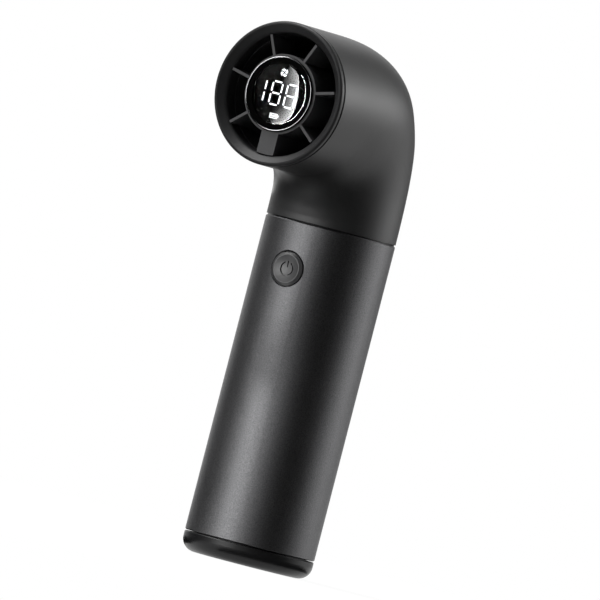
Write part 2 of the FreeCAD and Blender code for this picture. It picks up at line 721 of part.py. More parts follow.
def blade_section(radius, degrees):
    """Thin cambered section at a radius above the axis, leaning by degrees from the axis."""
    lean = math.radians(degrees)
    half = BLADE_LENGTH / 2
    middle = BLADE_FRONT + half
    nose = Vector(half * math.tan(lean), middle + half, NOZZLE_Z + radius)
    tail = Vector(-half * math.tan(lean), middle - half, NOZZLE_Z + radius)
    chord = nose - tail
    across = Vector(chord.y, -chord.x, 0).normalize()
    camber = chord.Length * BLADE_CAMBER
    centre = (nose + tail) / 2
    upper = Part.Arc(tail, centre - across * (camber + BLADE_T / 2), nose)
    lower = Part.Arc(nose, centre - across * (camber - BLADE_T / 2), tail)
    return Part.Wire([upper.toShape(), lower.toShape()])


def make_impeller():
    """Nose, hub and twisted blades of the axial fan, in one casting."""
    hub_r = HUB_R - TIP_CLEARANCE
    shoulder = BLADE_FRONT + BLADE_LENGTH * 0.45
    length = NOSE_REAR - shoulder
    steps = [k / 6 for k in range(7)]
    rise = [Vector(0, shoulder + length * s, NOZZLE_Z + NOSE_R + (hub_r - NOSE_R) * math.sqrt(1 - s * s))
            for s in steps]
    curve = Part.BSplineCurve()
    curve.interpolate(Points=rise, InitialTangent=Y_AXIS, FinalTangent=Z_AXIS * -1)
    bore = SHAFT_R
    bottom = [rise[-1], Vector(0, NOSE_REAR, NOZZLE_Z + bore), Vector(0, FAN_FRONT, NOZZLE_Z + bore),
              Vector(0, FAN_FRONT, NOZZLE_Z + hub_r), rise[0]]
    hub = Part.Face(Part.Wire([curve.toShape(), Part.makePolygon(bottom)])).revolve(NOZZLE_CENTRE, Y_AXIS, 360)
    root = NOSE_R + 4.2
    radii = [root, (root + BLADE_TIP_R) / 2, BLADE_TIP_R + 2]
    wires = []
    for radius in radii:
        share = (radius - root) / (radii[-1] - root)
        wires.append(blade_section(radius, BLADE_HUB_DEG + (BLADE_TIP_DEG - BLADE_HUB_DEG) * share))
    blade = Part.makeLoft(wires, True, False)
    blade = blade.common(rod_y(BLADE_TIP_R, FAN_FRONT, NOSE_REAR))
    blades = [about_nozzle(blade, k * 360 / BLADE_COUNT) for k in range(BLADE_COUNT)]
    hollow = turn_nozzle([
        (FAN_BOSS_R, FAN_FRONT - 1), (hub_r - FAN_RIM_WALL, FAN_FRONT - 1),
        (hub_r - FAN_RIM_WALL, FAN_FRONT + FAN_HOLLOW_DEPTH, 2.0), (FAN_BOSS_R, FAN_FRONT + FAN_HOLLOW_DEPTH, 1.0)])
    return join([hub] + blades).cut(hollow)


def make_impeller_nut():
    across = NUT_FLATS / math.cos(math.radians(30)) / 2
    points = [Vector(across * math.sin(math.radians(60 * k)), NOSE_REAR + SEAT,
                     NOZZLE_Z + across * math.cos(math.radians(60 * k))) for k in range(7)]
    nut = Part.Face(Part.makePolygon(points)).extrude(Y_AXIS * (NUT_HEIGHT - 0.5))
    rounding = turn_nozzle([(0, NOSE_REAR - 1), (across + 0.5, NOSE_REAR - 1),
                            (across + 0.5, NOSE_REAR + NUT_HEIGHT - 1.0), (across - 0.3, NOSE_REAR + NUT_HEIGHT),
                            (0, NOSE_REAR + NUT_HEIGHT)])
    return nut.common(rounding).cut(rod_y(SHAFT_R, NOSE_REAR - 1, NOSE_REAR + NUT_HEIGHT + 1))


# Display pod

def make_display_bezel():
    """Black ring between the hub and the lens, with a groove for the bright ring."""
    chrome_in = CHROME_R - CHROME_WIDTH / 2 - SEAT
    chrome_out = CHROME_R + CHROME_WIDTH / 2 + SEAT
    chrome_y = FRONT_Y + CHROME_DEPTH
    lens_in = LENS_R + SEAT
    shoulder = VANE_FRONT - SEAT
    return turn_nozzle([
        (chrome_out, chrome_y + 0.25, 0.1), (HUB_R, shoulder, 0.6), (HUB_BORE - SEAT, shoulder),
        (HUB_BORE - SEAT, MODULE_REAR - SEAT), (MODULE_R + SEAT, MODULE_REAR - SEAT),
        (MODULE_R + SEAT, LENS_BACK + SEAT), (MODULE_R - 0.6, LENS_BACK + SEAT),
        (MODULE_R - 0.6, LENS_BACK - SEAT), (lens_in, LENS_BACK - SEAT), (lens_in, FRONT_Y + LENS_EDGE_DEPTH + 0.15),
        (chrome_in, chrome_y + 0.15), (chrome_in, chrome_y + 1.0), (chrome_out, chrome_y + 1.0)])


def make_chrome_ring():
    front = FRONT_Y + CHROME_DEPTH
    half = CHROME_WIDTH / 2
    return turn_nozzle([
        (CHROME_R - half, front + 0.98), (CHROME_R - half, front, 0.12),
        (CHROME_R + half, front, 0.12), (CHROME_R + half, front + 0.98)])


def make_display_lens():
    """Domed cover, flat at the back."""
    edge = FRONT_Y + LENS_EDGE_DEPTH
    sphere_r = (LENS_R ** 2 + LENS_SAG ** 2) / (2 * LENS_SAG)
    cover = rod_y(LENS_R, edge - LENS_SAG - 1, LENS_BACK - 2 * SEAT)
    ball = Part.makeSphere(sphere_r, Vector(0, edge - LENS_SAG + sphere_r, NOZZLE_Z))
    lens = cover.common(ball)
    front = [e for e in lens.Edges if abs(e.BoundBox.YMin - edge) < 0.05 and e.BoundBox.YLength < 0.05
             and e.BoundBox.XLength > LENS_R]
    return lens.makeFillet(0.3, front[:1])


def prism(points, z_centre, x_centre=0.0):
    """Lit mark: an outline in X and Z pushed back from the display's face."""
    outline = [Vector(x_centre + x, LENS_BACK, NOZZLE_Z + z_centre + z) for x, z in points]
    return Part.Face(Part.makePolygon(outline + outline[:1])).extrude(Y_AXIS * MARK_T)


def stroke_bar(x, z, length, upright):
    """One display segment with cut corners."""
    half = STROKE / 2
    run = length / 2
    nib = half * 0.4
    points = [(-run, 0), (-run + nib, half), (run - nib, half), (run, 0), (run - nib, -half), (-run + nib, -half)]
    if upright:
        points = [(-b, a) for a, b in points]
    return prism(points, z, x)


def eight(x):
    rise = DIGIT_HEIGHT / 2
    wide = DIGIT_WIDTH - 2 * STROKE_GAP
    tall = rise - 2 * STROKE_GAP
    bars = [stroke_bar(x, z, wide, False) for z in (-rise, 0, rise)]
    for side in (-1, 1):
        bars += [stroke_bar(x + side * DIGIT_WIDTH / 2, z, tall, True) for z in (-rise / 2, rise / 2)]
    return bars


def icon_spot(radius, degrees):
    """Point of the fan icon, from its centre."""
    angle = math.radians(degrees)
    return Vector(radius * math.cos(angle), 0, radius * math.sin(angle))


def fan_icon():
    """Ring of small swept blades."""
    blades = []
    middle = (FAN_ICON_R + FAN_ICON_HUB) / 2
    for k in range(FAN_ICON_BLADES):
        start = 360 * k / FAN_ICON_BLADES
        root = icon_spot(FAN_ICON_HUB, start)
        lead = icon_spot(FAN_ICON_R, start + 14)
        tail = icon_spot(FAN_ICON_R, start + 70)
        wire = Part.Wire([
            Part.Arc(root, icon_spot(middle, start - 8), lead).toShape(),
            Part.Arc(lead, icon_spot(FAN_ICON_R, start + 42), tail).toShape(),
            Part.Arc(tail, icon_spot(middle, start + 40), root).toShape()])
        blade = Part.Face(wire).extrude(Y_AXIS * MARK_T)
        blade.translate(Vector(ICON_X, LENS_BACK, NOZZLE_Z + FAN_ICON_Z))
        blades.append(blade)
    return blades


def icon_box(half_width, half_height):
    return [(-half_width, -half_height), (half_width, -half_height), (half_width, half_height),
            (-half_width, half_height)]


def battery_icon():
    """Outline of a battery with its terminal, and charge bars inside."""
    line = BATTERY_ICON_LINE
    half_w = BATTERY_ICON_W / 2
    half_h = BATTERY_ICON_H / 2
    outline = prism(icon_box(half_w, half_h), BATTERY_ICON_Z, ICON_X)
    inside = prism(icon_box(half_w - line, half_h - line), BATTERY_ICON_Z, ICON_X)
    tip = prism(icon_box(line / 2, half_h / 2), BATTERY_ICON_Z, ICON_X + half_w + line)
    room = 2 * (half_w - line) / BATTERY_ICON_BARS
    bar = icon_box(room / 2 - line / 3, half_h - line * 1.8)
    middle = (BATTERY_ICON_BARS - 1) / 2
    bars = [prism(bar, BATTERY_ICON_Z, ICON_X + (k - middle) * room) for k in range(BATTERY_ICON_BARS)]
    return [outline.cut(inside), tip] + bars


def display_marks():
    """The lit marks: 188 centred on the lens, a fan above it and a battery below it."""
    span = ONE_GAP + DIGIT_WIDTH + DIGIT_PITCH
    one = -span / 2
    first = one + ONE_GAP + DIGIT_WIDTH / 2
    rise = DIGIT_HEIGHT / 4
    tall = DIGIT_HEIGHT / 2 - 2 * STROKE_GAP
    marks = [stroke_bar(one, z, tall, True) for z in (-rise, rise)]
    return marks + eight(first) + eight(first + DIGIT_PITCH) + fan_icon() + battery_icon()


def make_display_segments():
    return Part.makeCompound(display_marks())


def make_display_module():
    """Opaque black face with a pocket for every lit mark, on a solid back."""
    body = rod_y(MODULE_R, LENS_BACK + 2 * SEAT, MODULE_REAR - SEAT)
    for mark in display_marks():
        body = body.cut(mark)
    return body


def make_display_board():
    board = rod_y(HUB_BORE - FIT, MODULE_REAR, DISPLAY_BOARD_REAR)
    socket = block(-2.6, 2.6, DISPLAY_BOARD_REAR - 0.1, DISPLAY_BOARD_REAR + 1.0,
                   NOZZLE_Z - HUB_BORE + 2.2, NOZZLE_Z - HUB_BORE + 4.4)
    return join([board, socket])


# Handle

def make_handle_tube():
    tube = turn_handle([
        (TUBE_BORE, TUBE_Z0), (HANDLE_R - TUBE_CHAMFER, TUBE_Z0), (HANDLE_R, TUBE_Z0 + TUBE_CHAMFER),
        (HANDLE_R, TUBE_Z1 - TUBE_CHAMFER), (HANDLE_R - TUBE_CHAMFER, TUBE_Z1), (TUBE_BORE, TUBE_Z1)])
    hole = rod_y(BUTTON_R + BUTTON_GAP, -2 * HANDLE_R, 0, 0, BUTTON_Z)
    tube = tube.cut(hole)
    rim = []
    for edge in tube.Edges:
        box = edge.BoundBox
        if box.YMin < -HANDLE_R + 0.05 and box.ZLength < 3 * BUTTON_R and 1 < box.ZLength and box.XLength > 1:
            rim.append(edge)
    return tube.makeChamfer(HOLE_CHAMFER, rim)


def make_end_cap():
    corner = HANDLE_R - CAP_BASE_RADIUS
    spigot = TUBE_BORE - FIT
    top = CAP_HEIGHT + CAP_SPIGOT + CAP_SEAM
    cap = turn_handle([
        (0, 0), (HANDLE_R, 0, corner), (HANDLE_R, CAP_HEIGHT - CAP_EDGE), (HANDLE_R - CAP_EDGE, CAP_HEIGHT),
        (spigot - 0.6, CAP_HEIGHT), (spigot - 0.6, CAP_HEIGHT + CAP_SEAM), (spigot, CAP_HEIGHT + CAP_SEAM),
        (spigot, top, 0.3), (spigot - SPIGOT_WALL, top), (spigot - SPIGOT_WALL, CAP_FLOOR + 2, 1.5), (0, CAP_FLOOR + 2)])
    room = block(-CHARGE_BOARD_X / 2 - 0.5, CHARGE_BOARD_X / 2 + 0.5, -CHARGE_BOARD_Y / 2 - 0.5,
                 CHARGE_BOARD_Y / 2 + 0.5, CAP_FLOOR, top)
    bosses = [rod_z(ROD_HEAD_R + 1.4, CAP_FLOOR, CELL_FLOOR - SEAT, *on_ring(ROD_RING, a)) for a in ROD_ANGLES]
    posts = [rod_z(1.8, CAP_FLOOR - 0.5, USB_RECESS + USB_DEPTH - SEAT, x, CHARGE_BOARD_Y / 2 - 2)
             for x in (-CHARGE_BOARD_X / 2 + 2.2, CHARGE_BOARD_X / 2 - 2.2)]
    cap = join([cap.cut(room)] + bosses + posts)
    holes = [rod_z(ROD_R + SLIDE_FIT, -1, top + 1, *on_ring(ROD_RING, a)) for a in ROD_ANGLES]
    sinks = [rod_z(ROD_HEAD_R + 0.2, -1, HEAD_SINK, *on_ring(ROD_RING, a)) for a in ROD_ANGLES]
    half_w = USB_WIDTH / 2 + SLIDE_FIT
    half_h = USB_HEIGHT / 2 + SLIDE_FIT
    mouth = [(-half_w, -half_h, half_h - 0.01), (half_w, -half_h, half_h - 0.01),
             (half_w, half_h, half_h - 0.01), (-half_w, half_h, half_h - 0.01)]
    port = Part.Face(rounded_wire(mouth, lambda x, y: Vector(x, y, -1))).extrude(Z_AXIS * (top + 1))
    return cap.cut(join(holes + sinks)).cut(port)


def make_neck_coupler():
    """Ring that joins tube and head, closed by a web that keeps the air out of the handle."""
    low = TUBE_Z1 - COUPLER_DROP
    lower_r = TUBE_BORE - FIT
    upper_r = HANDLE_R - HEAD_WALL - FIT
    top = HEAD_Z0 + LUG_HEIGHT
    ring = turn_handle([
        (lower_r - COUPLER_WALL, low), (lower_r, low, 0.3), (lower_r, TUBE_Z1 + SEAT),
        (HANDLE_R - NECK_FLANGE_INSET, TUBE_Z1 + SEAT), (HANDLE_R - NECK_FLANGE_INSET, HEAD_Z0 - SEAT),
        (upper_r, HEAD_Z0 - SEAT), (upper_r, top, 0.3), (0, top), (0, top - WEB_T),
        (lower_r - COUPLER_WALL, top - WEB_T)])
    holes = [rod_z(ROD_R + SLIDE_FIT, low, top + 1, *on_ring(ROD_RING, a)) for a in ROD_ANGLES]
    cable = rod_z(5.0, low, top + 1, 0, -7.0)
    return ring.cut(join(holes + [cable]))


def cell_places():
    return [on_ring(CELL_RING, angle) for angle in CELL_ANGLES]


def make_battery_cells():
    cells = []
    for x, y in cell_places():
        can = rod_z(CELL_R, CELL_Z + SEAT, CELL_Z + CELL_LENGTH - 0.9, x, y)
        can = can.makeFillet(0.6, can.Edges[:1] + can.Edges[2:])
        nub = rod_z(3.1, CELL_Z + CELL_LENGTH - 1.0, CELL_Z + CELL_LENGTH - SEAT, x, y)
        cells.append(join([can, nub]))
    return Part.makeCompound(cells)


def strap_outline(z0, z1, pad, link):
    """Pads on the cells and the strips between them."""
    pads = [rod_z(pad, z0, z1, x, y) for x, y in cell_places()]
    links = []
    for angle in CELL_ANGLES:
        bar = block(0, CELL_RING, -link / 2, link / 2, z0, z1)
        bar.rotate(Vector(0, 0, 0), Z_AXIS, angle)
        links.append(bar)
    return join(pads + links)


def make_cell_straps():
    lower = strap_outline(CELL_Z - STRAP_T + SEAT, CELL_Z, 4.0, 5.0)
    upper = strap_outline(CELL_Z + CELL_LENGTH, CELL_TOP - SEAT, 4.0, 5.0)
    return Part.makeCompound([lower, upper])


def board_screw_places():
    column_x = ROD_RING * math.cos(math.radians(30))
    x = column_x - COLUMN_R - BOARD_SCREW_R - 0.9
    return [(side * x, z) for side in (-1, 1) for z in (BOARD_Z0 + BOARD_SCREW_INSET, BOARD_Z1 - BOARD_SCREW_INSET)]


def screw_pads():
    """Pads beside the two front columns that take the control board's screws."""
    column_x = ROD_RING * math.cos(math.radians(30))
    pads = []
    for x, z in board_screw_places():
        x0, x1 = sorted((x - math.copysign(1.5, x), math.copysign(column_x, x)))
        pads.append(block(x0, x1, BOARD_Y, BOARD_Y + 4.2, z - 1.8, z + 1.8))
    return pads


def make_battery_frame():
    """Two cupped plates on three hollow columns; the columns also carry the control board."""
    plate_r = TUBE_BORE - 3 * FIT
    plates = [rod_z(plate_r, CELL_FLOOR, CELL_FLOOR + PLATE_THICK), rod_z(plate_r, CELL_TOP, CELL_TOP + PLATE_THICK)]
    cups = []
    for x, y in cell_places():
        for z0, z1 in ((CELL_FLOOR + 0.5, CELL_Z + CUP_DEPTH), (CELL_TOP - CUP_DEPTH, CELL_TOP + 0.5)):
            cups.append(rod_z(CELL_R + FIT + CUP_WALL, z0, z1, x, y))
    columns = [rod_z(COLUMN_R, CELL_FLOOR, FRAME_TOP, *on_ring(ROD_RING, a)) for a in ROD_ANGLES]
    body = join(plates + cups + columns + screw_pads()).common(rod_z(plate_r, 0, FRAME_TOP))
    cells = [rod_z(CELL_R + FIT, CELL_Z - STRAP_T, CELL_TOP, x, y) for x, y in cell_places()]
    middle = rod_z(CELL_RING - 1, CELL_Z - STRAP_T, CELL_TOP)
    holes = [rod_z(ROD_R + SLIDE_FIT, 0, HEAD_Z0 + 20, *on_ring(ROD_RING, a)) for a in ROD_ANGLES]
    lead_ways = [rod_z(1.0, CELL_FLOOR - 1, CELL_TOP + 5, side * CHARGE_LEAD_X, CHARGE_LEAD_Y) for side in (-1, 1)]
    screws = [rod_y(BOARD_SCREW_R, BOARD_Y - 1, BOARD_Y + 3.5, x, z) for x, z in board_screw_places()]
    return body.cut(join(cells + [middle] + holes)).cut(join(lead_ways + screws))




def make_tie_rods():
    z1 = HEAD_Z0 + LUG_HEIGHT + BOSS_LENGTH - 2
    rods = []
    for angle in ROD_ANGLES:
        x, y = on_ring(ROD_RING, angle)
        head = rod_z(ROD_HEAD_R, HEAD_SINK - ROD_HEAD_H, HEAD_SINK - SEAT, x, y)
        head = head.makeFillet(0.3, head.Edges[2:])
        socket = Part.Face(Part.makePolygon([
            Vector(x + 1.4 * math.cos(math.radians(60 * k)), y + 1.4 * math.sin(math.radians(60 * k)), 0)
            for k in range(7)])).extrude(Z_AXIS * (HEAD_SINK - 0.8))
        rods.append(join([head, rod_z(ROD_R, HEAD_SINK - 0.2, z1, x, y)]).cut(socket))
    return Part.makeCompound(rods)


def make_boss_inserts():
    inserts = []
    for angle in ROD_ANGLES:
        body = insert_hole(angle, -SEAT)
        z1 = body.BoundBox.ZMax
        x, y = on_ring(ROD_RING, angle)
        inserts.append(body.cut(rod_z(ROD_R + SEAT, HEAD_Z0, z1 + 1, x, y)))
    return Part.makeCompound(inserts)


# Control board and its parts

def make_control_board():
    half = BOARD_WIDTH / 2
    corners = [(-half, BOARD_Z0, 2), (half, BOARD_Z0, 2), (half, BOARD_Z1, 2), (-half, BOARD_Z1, 2)]
    board = Part.Face(rounded_wire(corners, lambda x, z: Vector(x, BOARD_FACE, z))).extrude(Y_AXIS * (PCB_T - SEAT))
    holes = [rod_y(BOARD_SCREW_R + 0.2, BOARD_FACE - 1, BOARD_Y + 1, x, z) for x, z in board_screw_places()]
    return board.cut(join(holes))


LEAD_SOCKET = dict(x=5.0, y0=BOARD_Y + SEAT, y1=BOARD_Y + 4.6, z0=BOARD_Z1 - 10, z1=BOARD_Z1 - 2)
FLEX_SOCKET = dict(x=2.8, y0=BOARD_Y + SEAT, y1=BOARD_Y + 1.2, z0=BOARD_Z1 - 1.8, z1=BOARD_Z1)


def make_board_components():
    """Sockets, drive chip, power transistors and two capacitors on the control board."""
    rear = BOARD_Y + SEAT
    front = BOARD_FACE - SEAT
    parts = [block(-s["x"], s["x"], s["y0"], s["y1"], s["z0"], s["z1"]) for s in (LEAD_SOCKET, FLEX_SOCKET)]
    parts.append(block(-3.5, 3.5, rear, rear + 1.0, BOARD_Z0 + 12, BOARD_Z0 + 19))
    for k in range(6):
        x = -8.5 + 3.4 * k
        parts.append(block(x - 1.3, x + 1.3, rear, rear + 1.1, BOARD_Z0 + 6, BOARD_Z0 + 9.2))
    for side in (-1, 1):
        parts.append(rod_y(2.6, front - 5.2, front, side * 4.5, BOARD_Z0 + 6))
    return Part.makeCompound(parts)


def make_board_screws():
    screws = []
    for x, z in board_screw_places():
        head = rod_y(1.7, BOARD_FACE - 1.2, BOARD_FACE - SEAT, x, z)
        slot_cut = block(x - 1.3, x + 1.3, BOARD_FACE - 2, BOARD_FACE - 0.8, z - 0.2, z + 0.2)
        screws.append(join([head.cut(slot_cut), rod_y(BOARD_SCREW_R - SEAT, BOARD_FACE - 0.1, BOARD_Y + 3.2, x, z)]))
    return Part.makeCompound(screws)


def make_tact_switch():
    half = SWITCH_SIZE / 2
    body = block(-half, half, SWITCH_FACE, BOARD_FACE - SEAT, BUTTON_Z - half, BUTTON_Z + half)
    upright = [e for e in body.Edges if e.BoundBox.YLength > 1]
    body = body.makeFillet(0.5, upright)
    return body.cut(rod_y(PLUNGER_R + RUNNING_FIT, SWITCH_FACE - 1, BOARD_FACE - 0.9, 0, BUTTON_Z))


def make_switch_plunger():
    inside = BOARD_FACE - 0.9 - BUTTON_TRAVEL - 0.15
    return turn_button([(0, PLUNGER_TOP + SEAT), (PLUNGER_R, PLUNGER_TOP + SEAT, 0.2),
                        (PLUNGER_R, inside), (0, inside)])


# Power button

def power_symbol():
    """Open ring and bar of the usual power sign, as a cutter."""
    outer = SYMBOL_R + SYMBOL_STROKE / 2
    inner = SYMBOL_R - SYMBOL_STROKE / 2
    y0 = BUTTON_TOP - 1
    depth = 1 + SYMBOL_DEPTH
    ring = rod_y(outer, y0, y0 + depth, 0, BUTTON_Z).cut(rod_y(inner, y0 - 1, y0 + depth + 1, 0, BUTTON_Z))
    reach = 2 * outer
    side = reach * math.tan(math.radians(SYMBOL_GAP_DEG))
    wedge = Part.Face(Part.makePolygon([
        Vector(0, y0 - 1, BUTTON_Z), Vector(side, y0 - 1, BUTTON_Z + reach),
        Vector(-side, y0 - 1, BUTTON_Z + reach), Vector(0, y0 - 1, BUTTON_Z)])).extrude(Y_AXIS * (depth + 2))
    half = SYMBOL_STROKE / 2
    bar = block(-half, half, y0, y0 + depth, BUTTON_Z + 0.55, BUTTON_Z + outer + 0.2)
    return join([ring.cut(wedge), bar])


def make_power_button():
    """Dished cap with a skirt, a seal groove and a stem that works the switch."""
    face_rear = BUTTON_TOP + BUTTON_FACE_T
    groove = SKIRT_END - 1.35
    skirt_in = BUTTON_R - 1.7
    clip_y = GUIDE_END + SEAT
    ledge = (BUTTON_DISH_R ** 2 + BUTTON_DISH ** 2) / (2 * BUTTON_DISH)
    body = turn_button([
        (0, BUTTON_TOP), (BUTTON_R - BUTTON_RIM, BUTTON_TOP, BUTTON_EDGE),
        (BUTTON_R, BUTTON_TOP + BUTTON_RIM_DROP, BUTTON_EDGE),
        (BUTTON_R, groove), (BUTTON_R - 0.8, groove), (BUTTON_R - 0.8, groove + 1.0), (BUTTON_R, groove + 1.0),
        (BUTTON_R, SKIRT_END, 0.15), (skirt_in, SKIRT_END), (skirt_in, face_rear), (STEM_R, face_rear),
        (STEM_R, clip_y), (STEM_R - 0.5, clip_y), (STEM_R - 0.5, clip_y + CLIP_T + 2 * SEAT),
        (STEM_R, clip_y + CLIP_T + 2 * SEAT), (STEM_R, PLUNGER_TOP, 0.3), (0, PLUNGER_TOP)])
    dish = Part.makeSphere(ledge, Vector(0, BUTTON_TOP + BUTTON_DISH - ledge, BUTTON_Z))
    return body.cut(dish).cut(power_symbol())


def make_button_seal():
    groove = SKIRT_END - 1.35
    centre_r = BUTTON_R - 0.8 + SEAT + SEAL_R
    return Part.makeTorus(centre_r, SEAL_R, Vector(0, groove + 0.5, BUTTON_Z), Y_AXIS)


def make_button_clip():
    """Open retaining clip that holds the stem behind the guide's web."""
    y0 = GUIDE_END + 2 * SEAT
    ring = turn_button([(STEM_R - 0.48, y0), (STEM_R + 1.4, y0), (STEM_R + 1.4, y0 + CLIP_T), (STEM_R - 0.48, y0 + CLIP_T)])
    return ring.cut(block(-1.1, 1.1, y0 - 1, y0 + CLIP_T + 1, BUTTON_Z - STEM_R - 3, BUTTON_Z))


def make_button_guide():
    """Guide behind the tube's wall: a bore for the cap, a web for the stem and two feet on the board."""
    bore = BUTTON_R + SEAT * 2 + SLIDE_FIT
    body = rod_y(GUIDE_R, -HANDLE_R, GUIDE_END, 0, BUTTON_Z).common(rod_z(TUBE_BORE - FIT / 2, 0, TUBE_Z1))
    feet = [rod_y(1.3, GUIDE_END - 1.5, BOARD_FACE - SEAT, side * (GUIDE_R - 1.6), BUTTON_Z) for side in (-1, 1)]
    body = join([body] + feet)
    body = body.cut(rod_y(bore, -HANDLE_R, GUIDE_WEB_Y, 0, BUTTON_Z))
    return body.cut(rod_y(STEM_R + RUNNING_FIT * 2, -HANDLE_R, GUIDE_END + 1, 0, BUTTON_Z))


# Charging

def make_charge_board():
    z0 = USB_RECESS + USB_DEPTH
    return block(-CHARGE_BOARD_X / 2, CHARGE_BOARD_X / 2, -CHARGE_BOARD_Y / 2, CHARGE_BOARD_Y / 2, z0, z0 + BOARD_T)


def stadium(width, height, z0, z1):
    half_w = width / 2
    half_h = height / 2
    radius = half_h - 0.01
    corners = [(-half_w, -half_h, radius), (half_w, -half_h, radius), (half_w, half_h, radius), (-half_w, half_h, radius)]
    return Part.Face(rounded_wire(corners, lambda x, y: Vector(x, y, z0))).extrude(Z_AXIS * (z1 - z0))


def make_usb_socket():
    """Metal shell of the charging socket with its tongue."""
    z0 = USB_RECESS
    z1 = z0 + USB_DEPTH - SEAT
    shell = stadium(USB_WIDTH, USB_HEIGHT, z0, z1)
    hollow = stadium(USB_WIDTH - 2 * USB_WALL, USB_HEIGHT - 2 * USB_WALL, z0 - 1, z1 - 1.2)
    half_t = USB_TONGUE_T / 2
    tongue = block(-3.4, 3.4, -half_t, half_t, z0 + 0.8, z1 - 1.0)
    return join([shell.cut(hollow), tongue])


def bent_wire(points, bend):
    """Open path of straight runs through points, with an arc at each inner point."""
    pieces = []
    last = points[0]
    for before, here, after in zip(points, points[1:], points[2:]):
        back = (before - here)
        on = (after - here)
        room = min(back.Length, on.Length) * 0.48
        back.normalize()
        on.normalize()
        half = back.getAngle(on) / 2
        run = min(bend / math.tan(half), room)
        radius = run * math.tan(half)
        if math.degrees(half) > 89.5:
            continue
        start = here + back * run
        end = here + on * run
        middle = here + (back + on).normalize() * (radius / math.sin(half) - radius)
        pieces.append(Part.makeLine(last, start))
        pieces.append(Part.Arc(start, middle, end).toShape())
        last = end
    pieces.append(Part.makeLine(last, points[-1]))
    return Part.Wire(pieces)


def pipe(points, radius, bend):
    """Round wire along straight runs with bends."""
    ring = Part.Wire([Part.makeCircle(radius, points[0], points[1] - points[0])])
    return bent_wire(points, bend).makePipeShell([ring], True, False)


def throat_point(gap, degrees):
    """Point (y, z) held a gap above the throat's inner wall, at an angle from straight up."""
    radius = THROAT_R + HEAD_WALL + gap
    angle = math.radians(degrees)
    return BEND_Y + radius * math.sin(angle), HEAD_Z0 + radius * math.cos(angle)


def make_motor_leads():
    """Three leads from the windings, down the wide vane and the throat, to the control board."""
    start_y = COIL_REAR + LEAD_R + 0.1
    exit_y = CABLE_VANE_REAR - 0.7 - LEAD_R - 0.25
    socket_y = (LEAD_SOCKET["y0"] + LEAD_SOCKET["y1"]) / 2
    web_top = HEAD_Z0 + LUG_HEIGHT
    route = [
        (start_y, NOZZLE_Z - HUB_BORE + 0.6), (start_y, NOZZLE_Z - HUB_R - 2.4),
        (exit_y, NOZZLE_Z - DUCT_R + 1.0), (exit_y, NOZZLE_Z - DUCT_R - 1.2),
        throat_point(1.5, 30), throat_point(1.8, 48), throat_point(2.1, 66),
        (-12.0, web_top + 1.9), (socket_y, web_top - 0.8), (socket_y, LEAD_SOCKET["z1"] + SEAT)]
    leads = []
    for k in (-1, 0, 1):
        leads.append(pipe([Vector(k * LEAD_PITCH, y, z) for y, z in route], LEAD_R, LEAD_BEND))
    return Part.makeCompound(leads)


def flat_strip(route, thickness, width, bend):
    """Flat cable whose middle follows (y, z) runs with bends, width along X."""
    middle = [Vector(0, y, z) for y, z in route]
    along = [(b - a).normalize() for a, b in zip(middle, middle[1:])]
    normals = [Vector(0, -d.z, d.y) for d in along]
    half = thickness / 2
    edges = {}
    for side in (1, -1):
        corners = [(middle[0] + normals[0] * (side * half), 0)]
        for k in range(1, len(middle) - 1):
            mitre = (normals[k - 1] + normals[k]).normalize()
            reach = half / mitre.dot(normals[k])
            turn = along[k - 1].y * along[k].z - along[k - 1].z * along[k].y
            radius = bend - half if turn * side > 0 else bend + half
            corners.append((middle[k] + mitre * (side * reach), radius))
        corners.append((middle[-1] + normals[-1] * (side * half), 0))
        edges[side] = corners
    ring = [(p.y, p.z, r) for p, r in edges[1] + edges[-1][::-1]]
    wire = rounded_wire(ring, lambda y, z: Vector(-width / 2, y, z))
    return Part.Face(wire).extrude(X_AXIS * width)


def make_display_cable():
    """Flat flex from the display board, back through the wide vane and down to the control board."""
    web_top = HEAD_Z0 + LUG_HEIGHT
    start_y = DISPLAY_BOARD_REAR + 0.7
    end_y = BOARD_Y + 0.6
    way_out = CABLE_VANE_REAR - FLEX_WAY_OUT
    leave = math.degrees(math.asin((way_out - BEND_Y) / (THROAT_R + HEAD_WALL + 0.55)))
    bends = [leave + (FLEX_LAST_DEG - leave) * k / 3 for k in range(4)]
    along_throat = [throat_point(gap, bend) for gap, bend in zip((0.55, 0.4, 0.5, 0.5), bends)]
    route = [
        (start_y, NOZZLE_Z - HUB_BORE + 2.1), (start_y, NOZZLE_Z - DUCT_R + 3.7),
        (way_out - 4.8, NOZZLE_Z - DUCT_R + 3.1)] + along_throat + [
        (-19.0, web_top + 0.7), (-11.5, web_top + 0.5),
        (end_y, web_top - 2.2), (end_y, FLEX_SOCKET["z1"] + SEAT)]
    return flat_strip(route, FLEX_T, FLEX_WIDTH, FLEX_BEND)


def make_charge_leads():
    """Two leads from the charge board, up beside the cells, to the control board's lower edge."""
    board_top = USB_RECESS + USB_DEPTH + BOARD_T
    leads = []
    for side in (-1, 1):
        route = [
            (side * 6.5, -CHARGE_BOARD_Y / 2 + 1.2, board_top + SEAT),
            (side * 6.5, -CHARGE_BOARD_Y / 2 + 1.2, board_top + 1.7),
            (side * CHARGE_LEAD_X, CHARGE_LEAD_Y, board_top + 1.9),
            (side * CHARGE_LEAD_X, CHARGE_LEAD_Y, CELL_TOP + 2.6),
            (side * CHARGE_PAD_X, BOARD_FACE - 2.0, BOARD_Z0 + 1.6),
            (side * CHARGE_PAD_X, BOARD_FACE - SEAT, BOARD_Z0 + 1.6)]
        leads.append(pipe([Vector(*p) for p in route], LEAD_R, LEAD_BEND))
    return Part.makeCompound(leads)


